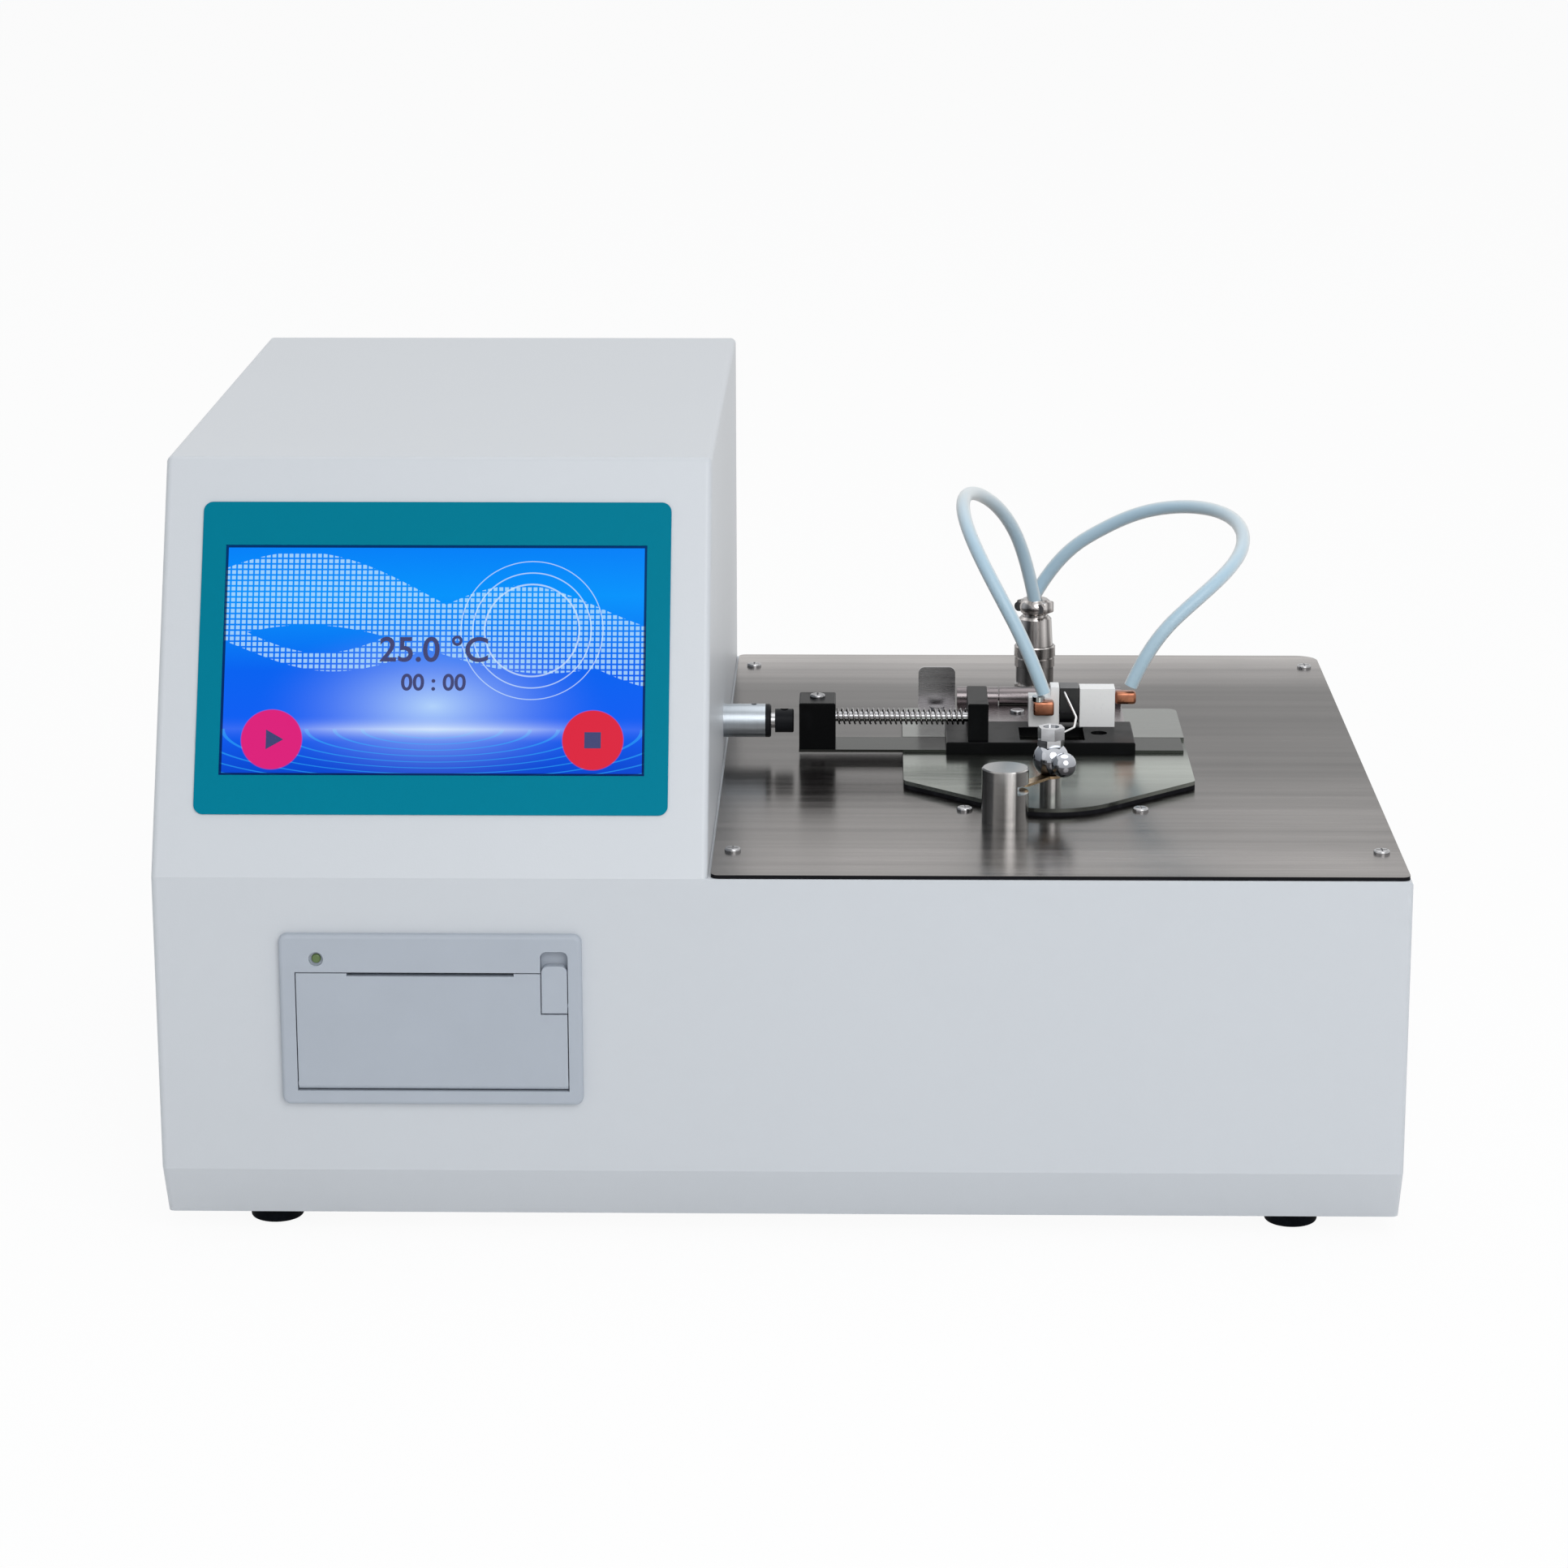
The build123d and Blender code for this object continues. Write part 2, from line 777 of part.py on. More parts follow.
# ---- Printer door with its tear edge, lever notch and platen ears --------
with BuildPart() as printer_door:
    with BuildSketch(Plane.XZ.offset(-bezel_y)):
        with BuildLine():
            Polyline(
                (door_left, door_pivot_z),
                (door_right, door_pivot_z),
                (door_right, notch_bottom),
                (notch_left, notch_bottom),
                (notch_left, door_top),
                (door_left, door_top),
                close=True,
            )
        make_face()
        with Locations((case_x, door_top)):
            Rectangle(slot_width, 2 * slot_drop, mode=Mode.SUBTRACT)
    extrude(amount=-door_thickness)
    with BuildSketch(Plane.YZ.offset(door_left)):
        with Locations((door_pivot_y, door_pivot_z)):
            Circle(door_thickness / 2)
    extrude(amount=door_right - door_left)
    with BuildSketch(Plane.YZ.offset(door_left - door_pin_length + piece_gap)):
        with Locations((door_pivot_y, door_pivot_z)):
            Circle(door_pin_radius)
    extrude(amount=door_right - door_left + 2 * (door_pin_length - piece_gap))
    # two ears behind the door carry the platen roller
    for side in (-1, 1):
        with BuildSketch(Plane.YZ.offset(case_x + side * (platen_length / 2 + running_gap))):
            with BuildLine():
                Polyline(
                    (bezel_y + door_thickness, platen_z - ear_drop),
                    (platen_y, platen_z - ear_half),
                    (platen_y + ear_half, platen_z),
                    (platen_y, platen_z + ear_half),
                    (bezel_y + door_thickness, platen_z + ear_half),
                    close=True,
                )
            make_face()
            with Locations((platen_y, platen_z)):
                Circle(platen_shaft + running_gap, mode=Mode.SUBTRACT)
        extrude(amount=side * ear_thickness)
save(printer_door, "printer_door")

with BuildPart() as platen_roller:
    with BuildSketch(Plane.YZ.offset(case_x - platen_length / 2)):
        with Locations((platen_y, platen_z)):
            Circle(platen_radius)
    extrude(amount=platen_length)
    with BuildSketch(Plane.YZ.offset(case_x - platen_length / 2 - ear_thickness)):
        with Locations((platen_y, platen_z)):
            Circle(platen_shaft)
    extrude(amount=platen_length + 2 * ear_thickness)
save(platen_roller, "platen_roller")

# ---- Release lever beside the door ---------------------------------------
with BuildPart() as printer_lever:
    with BuildSketch(Plane.XZ.offset(-lever_y)):
        with Locations((lever_x, lever_z)):
            Rectangle(lever_width, lever_height)
    extrude(amount=-lever_thickness)
    fillet(printer_lever.edges().filter_by(Axis.Y).group_by(Axis.Z)[-1], lever_round)
    fillet(printer_lever.faces().sort_by(Axis.Y)[0].edges(), lever_edge)
    with BuildSketch(Plane.YZ.offset(lever_x)):
        with Locations((pin_y, pin_z)):
            Circle(door_pin_radius)
    extrude(amount=lever_width / 2 + door_pin_length - piece_gap)
save(printer_lever, "printer_lever")

# ---- Paper roll on the tray's two stub axles -----------------------------
with BuildPart() as paper_roll:
    with BuildSketch(Plane.YZ.offset(case_x - roll_width / 2)):
        with Locations((roll_y, roll_z)):
            Circle(roll_radius)
            Circle(roll_axle + running_gap, mode=Mode.SUBTRACT)
    extrude(amount=roll_width)
save(paper_roll, "paper_roll")

# ---- Control board and power supply on the base plate --------------------
board_z = floor_z + standoff_height
with BuildPart() as control_board:
    with BuildSketch(Plane.XY.offset(board_z)):
        with Locations((board_x, board_y)):
            Rectangle(board_length, board_width)
    extrude(amount=board_thickness)
    with BuildSketch(Plane.XY.offset(board_z + board_thickness)):
        with Locations((board_x - chip_size, board_y)):
            Rectangle(chip_size, chip_size)
        with Locations((board_x + chip_size, board_y)):
            Rectangle(module_width, module_length)
        with Locations((board_x, board_y - board_width / 2 + header_width)):
            Rectangle(header_length, header_width)
    extrude(amount=chip_height)
save(control_board, "control_board")

with BuildPart() as power_supply:
    with BuildSketch(Plane.XY.offset(floor_z)):
        with Locations((supply_x, supply_y)):
            Rectangle(supply_width, supply_length)
    extrude(amount=supply_height)
    chamfer(power_supply.edges().filter_by(Axis.Y).group_by(Axis.Z)[-1], supply_edge)
save(power_supply, "power_supply")

# ---- Pusher: motor in the tower, sleeve, end cap, plunger and tip --------
sleeve_end = tower_right + sleeve_length
cap_end = sleeve_end + sleeve_cap_length
tip_start = cap_end + neck_length
tip_end = tip_start + tip_length
wall_inside = tower_right - sheet
with BuildPart() as actuator_body:
    with BuildSketch(Plane.YZ.offset(wall_inside)):
        with Locations((cup_y, pusher_z)):
            RectangleRounded(actuator_flange, actuator_size, actuator_corner)
    extrude(amount=-actuator_flange_thickness)
    with BuildSketch(Plane.YZ.offset(wall_inside - actuator_flange_thickness)):
        with Locations((cup_y, pusher_z)):
            RectangleRounded(actuator_size, actuator_size, actuator_corner)
    extrude(amount=-actuator_length)
    with BuildSketch(Plane.YZ.offset(wall_inside)):
        with Locations((cup_y, pusher_z)):
            Circle(plunger_radius + plunger_gap)
    extrude(amount=-2 * actuator_length, mode=Mode.SUBTRACT)
save(actuator_body, "actuator_body")

with BuildPart() as actuator_sleeve:
    with BuildSketch(Plane.YZ.offset(tower_right)):
        with Locations((cup_y, pusher_z)):
            Circle(sleeve_radius)
            Circle(plunger_radius + plunger_gap, mode=Mode.SUBTRACT)
    extrude(amount=sleeve_length)
    with BuildSketch(Plane.XY.offset(pusher_z + plunger_radius + set_screw_floor)):
        with Locations((sleeve_end - set_screw_back, cup_y)):
            Circle(set_screw_radius)
    extrude(amount=sleeve_radius, mode=Mode.SUBTRACT)
save(actuator_sleeve, "actuator_sleeve")

with BuildPart() as sleeve_cap:
    with BuildSketch(Plane.YZ.offset(sleeve_end)):
        with Locations((cup_y, pusher_z)):
            Circle(sleeve_radius)
            Circle(plunger_radius + plunger_gap, mode=Mode.SUBTRACT)
    extrude(amount=sleeve_cap_length)
    chamfer(sleeve_cap.edges().group_by(Axis.X)[-1].sort_by(SortBy.LENGTH)[-1], sleeve_cap_edge)
save(sleeve_cap, "sleeve_cap")

with BuildPart() as plunger:
    with BuildSketch(Plane.YZ.offset(tip_start)):
        with Locations((cup_y, pusher_z)):
            Circle(plunger_radius)
    extrude(amount=-plunger_tail)
save(plunger, "plunger")

with BuildPart() as plunger_tip:
    with BuildSketch(Plane.YZ.offset(tip_start)):
        with Locations((cup_y, pusher_z)):
            Circle(tip_radius)
    extrude(amount=tip_length)
    chamfer(plunger_tip.edges().group_by(Axis.X)[-1], small_edge)
    with BuildSketch(Plane.XY.offset(pusher_z)):
        with Locations(((tip_start + tip_end) / 2, cup_y)):
            Circle(tip_hole_radius)
    extrude(amount=tip_radius + cut_margin, both=True, mode=Mode.SUBTRACT)
save(plunger_tip, "plunger_tip")

# ---- Deck: black gasket, steel plate and its screws ----------------------
deck_mid_x = (deck_left + deck_right) / 2
deck_mid_y = (deck_front + deck_back) / 2
with BuildPart() as deck_gasket:
    with BuildSketch(Plane.XY.offset(shelf_z)):
        with Locations((deck_mid_x, deck_mid_y)):
            RectangleRounded(deck_right - deck_left, deck_back - deck_front, deck_corner)
        with Locations((cup_x, cup_y)):
            Circle(ring_spigot + ring_gap, mode=Mode.SUBTRACT)
    extrude(amount=deck_gasket_thickness)
save(deck_gasket, "deck_gasket")

with BuildPart() as deck_plate:
    with BuildSketch(Plane.XY.offset(deck_gasket_top)):
        with Locations((deck_mid_x, deck_mid_y)):
            Rectangle(deck_right - deck_left, deck_back - deck_front)
        with Locations((cup_x, cup_y)):
            Circle(ring_spigot + ring_gap, mode=Mode.SUBTRACT)
    extrude(amount=deck_sheet)
    plate_corners = deck_plate.edges().filter_by(Axis.Z)
    fillet(
        plate_corners.filter_by(
            lambda e: e.center().X < deck_mid_x or e.center().Y < deck_mid_y
        ),
        deck_corner,
    )
    fillet(
        deck_plate.edges().filter_by(Axis.Z).filter_by(
            lambda e: e.center().X > deck_right - piece_gap and e.center().Y > deck_back - piece_gap
        ),
        deck_back_corner,
    )
save(deck_plate, "deck_plate")

screw_spots = [
    (deck_left + deck_screw_side, front_y + deck_screw_front),
    (deck_right - deck_screw_side, front_y + deck_screw_front),
    (deck_left + deck_screw_side, deck_back - deck_screw_back),
    (deck_right - deck_screw_side, deck_back - deck_screw_back),
    (cup_x - pair_screw_spread, cup_y - pair_screw_front),
    (cup_x + pair_screw_spread, cup_y - pair_screw_front),
]
with BuildPart() as deck_screws:
    with BuildSketch(Plane.XY.offset(deck_top)):
        with Locations(*screw_spots):
            Circle(screw_radius)
    extrude(amount=screw_height)
    fillet(deck_screws.edges().group_by(Axis.Z)[-1], screw_edge)
    with BuildSketch(Plane.XY.offset(deck_top + screw_height)):
        with Locations(*screw_spots):
            Rectangle(screw_slot_length, screw_slot)
            Rectangle(screw_slot, screw_slot_length)
    extrude(amount=-screw_height / 2, mode=Mode.SUBTRACT)
save(deck_screws, "deck_screws")

# ---- Catch pillar with its slot for the latch tongue ---------------------
with BuildPart() as catch_pillar:
    with BuildSketch(Plane.XY.offset(deck_top)):
        with Locations((catch_x, catch_y)):
            Circle(catch_radius)
    extrude(amount=catch_height)
    chamfer(catch_pillar.edges().group_by(Axis.Z)[-1], catch_edge)
    with BuildSketch(Plane.XY.offset(deck_top + catch_slot_low)):
        with Locations((catch_x + catch_slot_in + catch_radius, catch_y)):
            Rectangle(2 * catch_radius, 3 * catch_radius)
    extrude(amount=catch_slot_height, mode=Mode.SUBTRACT)
save(catch_pillar, "catch_pillar")

# ---- Cup block in its insulating ring, cooler, heat sink and fan ---------
cup_bottom = deck_top - cup_length
cooler_bottom = cup_bottom - cooler_thickness
fin_bottom = sink_bottom - fin_height
fan_bottom = fin_bottom - fan_thickness
with BuildPart() as cup_block:
    with BuildSketch(Plane.XY.offset(cup_bottom)):
        with Locations((cup_x, cup_y)):
            Circle(cup_radius)
    extrude(amount=cup_length)
    with BuildSketch(Plane.XY.offset(cup_bottom)):
        with Locations((cup_x, cup_y)):
            Circle(cup_foot_radius)
    extrude(amount=cup_foot)
    with BuildSketch(Plane.XY.offset(deck_top)):
        with Locations((cup_x, cup_y)):
            Circle(cup_bore)
    extrude(amount=-cup_depth, mode=Mode.SUBTRACT)
    fillet(cup_block.edges().filter_by(GeomType.CIRCLE).group_by(Axis.Z)[-2], cup_floor_radius)
save(cup_block, "cup_block")

with BuildPart() as cup_insulator:
    with BuildSketch(Plane.XY.offset(shelf_z)):
        with Locations((cup_x, cup_y)):
            Circle(ring_spigot)
            Circle(cup_radius + ring_gap, mode=Mode.SUBTRACT)
    extrude(amount=deck_top - shelf_z)
    with BuildSketch(Plane.XY.offset(shelf_z)):
        with Locations((cup_x, cup_y)):
            Circle(ring_flange)
            Circle(cup_radius + ring_gap, mode=Mode.SUBTRACT)
    extrude(amount=-ring_thickness)
save(cup_insulator, "cup_insulator")

with BuildPart() as cooler_module:
    with BuildSketch(Plane.XY.offset(cooler_bottom)):
        with Locations((cup_x, cup_y)):
            Rectangle(cooler_size, cooler_size)
    extrude(amount=cooler_thickness)
save(cooler_module, "cooler_module")

fin_pitch = (sink_length - 2 * post_inset - 4 * post_radius - fin_thickness) / (fin_count - 1)
with BuildPart() as heat_sink:
    with BuildSketch(Plane.XY.offset(sink_bottom)):
        with Locations((cup_x, cup_y)):
            Rectangle(sink_width, sink_length)
    extrude(amount=sink_base)
    with BuildSketch(Plane.XY.offset(sink_bottom)):
        with Locations((cup_x, cup_y)):
            with GridLocations(0, fin_pitch, 1, fin_count):
                Rectangle(sink_width - 4 * post_inset, fin_thickness)
    extrude(amount=-fin_height)
save(heat_sink, "heat_sink")

with BuildPart() as fan_frame:
    with BuildSketch(Plane.XY.offset(fan_bottom)):
        with Locations((cup_x, cup_y)):
            RectangleRounded(fan_size, fan_size, fan_corner)
            Circle(fan_bore, mode=Mode.SUBTRACT)
    extrude(amount=fan_thickness)
    with BuildSketch(Plane.XY.offset(fan_bottom)):
        with Locations((cup_x, cup_y)):
            Circle(fan_hub)
            Rectangle(2 * (fan_bore + fan_spoke_root), fan_spoke)
            Rectangle(fan_spoke, 2 * (fan_bore + fan_spoke_root))
            Circle(fan_shaft + running_gap, mode=Mode.SUBTRACT)
    extrude(amount=fan_spoke_depth)
save(fan_frame, "fan_frame")

rotor_bottom = fan_bottom + fan_spoke_depth + piece_gap
blade_length = fan_bore - fan_hub - piece_gap
with BuildPart() as fan_rotor:
    with BuildSketch(Plane.XY.offset(rotor_bottom)):
        with Locations((cup_x, cup_y)):
            Circle(fan_hub)
    extrude(amount=fan_thickness - fan_spoke_depth - 2 * piece_gap)
    with BuildSketch(Plane.XY.offset(rotor_bottom + fan_blade)):
        with Locations((cup_x, cup_y)):
            with PolarLocations(fan_hub + blade_length / 2 - fan_blade, fan_blades):
                Rectangle(blade_length, fan_blade, rotation=fan_blade_turn)
    extrude(amount=fan_thickness - fan_spoke_depth - 2 * fan_blade)
    with BuildSketch(Plane.XY.offset(fan_bottom)):
        with Locations((cup_x, cup_y)):
            Circle(fan_shaft)
    extrude(amount=fan_spoke_depth + piece_gap)
save(fan_rotor, "fan_rotor")

# ---- Lid: gasket and plate of one outline, and the guide plate -----------
nose_tip_y = lid_shoulder - lid_half_width * tan(radians(lid_diagonal))
with BuildSketch() as lid_outline:
    with BuildLine():
        Polyline(
            (cup_x - lid_half_width, lid_back),
            (cup_x - lid_half_width, lid_shoulder),
            (cup_x, nose_tip_y),
            (cup_x + lid_half_width, lid_shoulder),
            (cup_x + lid_half_width, lid_back),
            close=True,
        )
    make_face()
    fillet(lid_outline.vertices().sort_by(Axis.Y)[0], lid_nose_radius)
    fillet(
        lid_outline.vertices().filter_by(
            lambda v: abs(abs(v.X - cup_x) - lid_half_width) < piece_gap
        ),
        lid_corner,
    )

with BuildPart() as lid_gasket:
    with BuildSketch(Plane.XY.offset(deck_top)):
        add(lid_outline.sketch)
        with Locations((cup_x, cup_y)):
            Circle(lid_hole, mode=Mode.SUBTRACT)
    extrude(amount=lid_gasket_thickness)
save(lid_gasket, "lid_gasket")

with BuildPart() as lid_plate:
    with BuildSketch(Plane.XY.offset(lid_plate_z)):
        add(lid_outline.sketch)
        with Locations((port_x, cup_y)):
            Rectangle(port_width, port_length, mode=Mode.SUBTRACT)
    extrude(amount=lid_thickness)
save(lid_plate, "lid_plate")

guide_front = strip_width / 2 + 2 * channel_side_gap
with BuildPart() as guide_plate:
    with BuildSketch(Plane.XY.offset(lid_top)):
        with Locations((cup_x, (guide_front + lid_back) / 2)):
            Rectangle(2 * lid_half_width, lid_back - guide_front)
    extrude(amount=guide_thickness)
    rear_corners = guide_plate.edges().filter_by(Axis.Z).group_by(Axis.Y)[-1]
    fillet(rear_corners, lid_corner)
save(guide_plate, "guide_plate")

# ---- Shutter guide: the block that bridges the strip, and its upright ----
base_front = -strip_width / 2 - channel_side_gap - base_front_wall
channel_top = strip_top + channel_top_gap
with BuildPart() as shutter_guide:
    with BuildSketch(Plane.XY.offset(lid_top)):
        with Locations(((base_left + base_right) / 2, (base_front + base_back) / 2)):
            Rectangle(base_right - base_left, base_back - base_front)
    extrude(amount=base_height)
    chamfer(shutter_guide.edges().group_by(Axis.Z)[-1], small_edge)
    # channel for the strip, and the step down onto the guide plate behind it
    with BuildSketch(Plane.XY.offset(lid_top)):
        with Locations(((base_left + base_right) / 2, cup_y)):
            Rectangle(2 * (base_right - base_left), strip_width + 2 * channel_side_gap)
    extrude(amount=channel_top - lid_top, mode=Mode.SUBTRACT)
    with BuildSketch(Plane.XY.offset(lid_top)):
        with Locations(((base_left + base_right) / 2, (guide_front + lid_back) / 2)):
            Rectangle(2 * (base_right - base_left), lid_back - guide_front + 2 * channel_side_gap)
    extrude(amount=guide_thickness, mode=Mode.SUBTRACT)
    # window over the port, and the counterbore of the clamping screw
    with BuildSketch(Plane.XY.offset(base_top)):
        with Locations(
            (
                (base_window_left + base_window_right) / 2,
                (base_window_front + base_window_back) / 2,
            )
        ):
            Rectangle(base_window_right - base_window_left, base_window_back - base_window_front)
    extrude(amount=-base_height, mode=Mode.SUBTRACT)
    with BuildSketch(Plane.XY.offset(base_top)):
        with Locations((bore_screw_x, bore_screw_y)):
            Circle(counterbore_radius)
    extrude(amount=-counterbore_depth, mode=Mode.SUBTRACT)
save(shutter_guide, "shutter_guide")

with BuildPart() as guide_upright:
    with BuildSketch(Plane.XY.offset(base_top)):
        with Locations((upright_left + upright_thickness / 2, (upright_front + upright_back) / 2)):
            Rectangle(upright_thickness, upright_back - upright_front)
    extrude(amount=upright_height)
    chamfer(guide_upright.edges().group_by(Axis.Z)[-1], small_edge)
    with BuildSketch(Plane.YZ.offset(upright_left)):
        with Locations((cup_y, rod_z)):
            Circle(rod_radius + rod_gap)
    extrude(amount=upright_thickness, mode=Mode.SUBTRACT)
save(guide_upright, "guide_upright")

# ---- Shutter: strip with its window, drive block, rod, spring, screws ----
port_left = port_x - port_width / 2
strip_window_left = port_left - travel
strip_window_right = port_left - window_overlap
with BuildPart() as shutter_strip:
    with BuildSketch(Plane.XY.offset(strip_z)):
        with Locations(((strip_left + strip_right) / 2, cup_y)):
            Rectangle(strip_right - strip_left, strip_width)
        with Locations(((strip_window_left + strip_window_right) / 2, cup_y)):
            Rectangle(
                strip_window_right - strip_window_left,
                port_length + 2 * strip_window_margin,
                mode=Mode.SUBTRACT,
            )
    extrude(amount=strip_thickness)
save(shutter_strip, "shutter_strip")

block_x = block_left + block_length / 2
block_top = strip_top + block_height
with BuildPart() as drive_block:
    with BuildSketch(Plane.XY.offset(strip_top)):
        with Locations((block_x, cup_y)):
            Rectangle(block_length, block_width)
    extrude(amount=block_height)
    chamfer(drive_block.edges().group_by(Axis.Z)[-1], small_edge)
    with BuildSketch(Plane.YZ.offset(block_left + block_length)):
        with Locations((cup_y, rod_z)):
            Circle(rod_radius + rod_gap)
    extrude(amount=-block_length / 2, mode=Mode.SUBTRACT)
save(drive_block, "drive_block")

with BuildPart() as guide_rod:
    with BuildSketch(Plane.YZ.offset(block_x)):
        with Locations((cup_y, rod_z)):
            Circle(rod_radius)
    extrude(amount=rod_end - block_x)
    chamfer(guide_rod.edges().group_by(Axis.X)[-1], small_edge)
save(guide_rod, "guide_rod")

spring_start = block_left + block_length + spring_end_gap + spring_wire
spring_length = upright_left - spring_end_gap - spring_wire - spring_start
with BuildPart() as return_spring:
    with BuildLine() as spring_line:
        Helix(
            pitch=spring_length / spring_turns,
            height=spring_length,
            radius=spring_radius - spring_wire,
            center=(spring_start, cup_y, rod_z),
            direction=(1, 0, 0),
        )
    with BuildSketch(Plane(origin=spring_line.line @ 0, z_dir=spring_line.line % 0)):
        Circle(spring_wire)
    sweep()
save(return_spring, "return_spring")

with BuildPart() as drive_screws:
    with BuildSketch(Plane.XY.offset(block_top)):
        with Locations((block_x, block_screw_y)):
            Circle(screw_radius)
    extrude(amount=screw_height)
    fillet(drive_screws.edges().group_by(Axis.Z)[-1], screw_edge)
    with BuildSketch(Plane.XY.offset(block_top + screw_height)):
        with Locations((block_x, block_screw_y)):
            Rectangle(screw_slot_length, screw_slot)
            Rectangle(screw_slot, screw_slot_length)
    extrude(amount=-screw_height / 2, mode=Mode.SUBTRACT)
    with BuildSketch(Plane.XY.offset(strip_z)):
        with Locations((block_x, cup_y)):
            Circle(screw_radius)
    extrude(amount=-screw_height)
    fillet(drive_screws.edges().group_by(Axis.Z)[0], screw_edge)
save(drive_screws, "drive_screws")


def lead(route):
    """A round lead along straight runs joined by arcs as large as the runs allow."""
    points = [Vector(*p) for p in route]
    runs = [b - a for a, b in zip(points, points[1:])]
    radii = []
    for before, after in zip(runs, runs[1:]):
        half_turn = radians(before.get_angle(after)) / 2
        radii.append(bend_share * min(before.length, after.length) / tan(half_turn))
    with BuildPart() as tube:
        with BuildLine() as path:
            FilletPolyline(*route, radius=radii)
        with BuildSketch(Plane(origin=path.line @ 0, z_dir=path.line % 0)):
            Circle(lead_diameter / 2)
        sweep()
    return tube


# ---- The two igniter leads, from the plug's clamp to the lugs ------------
lead_left = lead(lead_left_route)
save(lead_left, "lead_left")
lead_right = lead(lead_right_route)
save(lead_right, "lead_right")

# ---- Igniter: two insulators, copper lugs, tilting carrier and hot wire --
with BuildPart() as terminal_block_left:
    with BuildSketch(Plane.XZ.offset(-terminal_front)):
        with BuildLine():
            Polyline(
                (left_terminal_left, base_top),
                (left_terminal_right, base_top),
                (left_terminal_right, base_top + left_terminal_height),
                (left_terminal_step, base_top + left_terminal_height),
                (left_terminal_step, base_top + left_terminal_low),
                (left_terminal_left, base_top + left_terminal_low),
                close=True,
            )
        make_face()
    extrude(amount=-(terminal_back - terminal_front))
    with BuildSketch(Plane.YZ.offset(left_terminal_right)):
        with Locations((pivot_y, pivot_z)):
            Circle(trunnion_radius + running_gap)
    extrude(amount=-trunnion_length, mode=Mode.SUBTRACT)
save(terminal_block_left, "terminal_block_left")

with BuildPart() as terminal_block_right:
    with BuildSketch(Plane.XY.offset(base_top)):
        with Locations(
            (
                (right_terminal_left + right_terminal_right) / 2,
                (terminal_front + terminal_back) / 2,
            )
        ):
            Rectangle(right_terminal_right - right_terminal_left, terminal_back - terminal_front)
    extrude(amount=right_terminal_height)
    with BuildSketch(Plane.YZ.offset(right_terminal_left)):
        with Locations((pivot_y, pivot_z)):
            Circle(trunnion_radius + running_gap)
    extrude(amount=trunnion_length, mode=Mode.SUBTRACT)
save(terminal_block_right, "terminal_block_right")

with BuildPart() as igniter_wire:
    with BuildLine() as wire_line:
        FilletPolyline(*wire_route, radius=wire_bend)
    with BuildSketch(Plane(origin=wire_line.line @ 0, z_dir=wire_line.line % 0)):
        Circle(wire_radius)
    sweep()
save(igniter_wire, "igniter_wire")

carrier_left = left_terminal_right + carrier_gap
carrier_right = right_terminal_left - carrier_gap
with BuildPart() as igniter_carrier:
    with BuildSketch(Plane.YZ.offset(carrier_left)):
        with Locations((pivot_y, pivot_z)):
            Circle(carrier_round)
        with Locations((pivot_y, pivot_z + carrier_height / 2)):
            Rectangle(2 * carrier_round, carrier_height)
    extrude(amount=carrier_right - carrier_left)
    with BuildSketch(Plane.YZ.offset(carrier_left - carrier_gap - trunnion_length + piece_gap)):
        with Locations((pivot_y, pivot_z)):
            Circle(trunnion_radius)
    extrude(amount=carrier_right - carrier_left + 2 * (carrier_gap + trunnion_length - piece_gap))
    add(igniter_wire.part, mode=Mode.SUBTRACT)
save(igniter_carrier, "igniter_carrier")

left_lug_y = terminal_front - lug_seat - lug_radius
with BuildPart() as terminal_lugs:
    with BuildSketch(Plane.YZ.offset(left_lug_left)):
        with Locations((left_lug_y, left_lug_z)):
            Circle(lug_radius)
    extrude(amount=left_lug_length)
    with BuildSketch(Plane.YZ.offset(right_terminal_right + lug_seat)):
        with Locations((right_lug_y, right_lug_z)):
            Circle(lug_radius)
    extrude(amount=right_lug_length + lug_seat)
    # a collar squared to the end of each lead
    for route in (lead_left_route, lead_right_route):
        run = Vector(*route[-1]) - Vector(*route[-2])
        with BuildSketch(Plane(origin=route[-1], z_dir=run)):
            Circle(lug_collar_radius)
        extrude(amount=lug_collar_length)
    with BuildSketch(Plane.XY.offset(left_lug_z)):
        with Locations((lug_screw_x, left_lug_y)):
            Circle(lug_screw_radius)
    extrude(amount=2 * lug_radius, mode=Mode.SUBTRACT)
save(terminal_lugs, "terminal_lugs")

# ---- Lift tab on the guide plate -----------------------------------------
with BuildPart() as lift_tab:
    with BuildSketch(Plane.XZ.offset(-lid_back)):
        with Locations((tab_left + tab_width / 2, guide_top + tab_height / 2)):
            Rectangle(tab_width, tab_height)
    extrude(amount=tab_thickness)
    fillet(lift_tab.edges().filter_by(Axis.Y).group_by(Axis.Z)[-1], tab_radius)
    with BuildSketch(Plane.XY.offset(guide_top)):
        with Locations((tab_left + tab_width / 2, lid_back - tab_foot / 2)):
            Rectangle(tab_width, tab_foot)
    extrude(amount=tab_thickness)
save(lift_tab, "lift_tab")

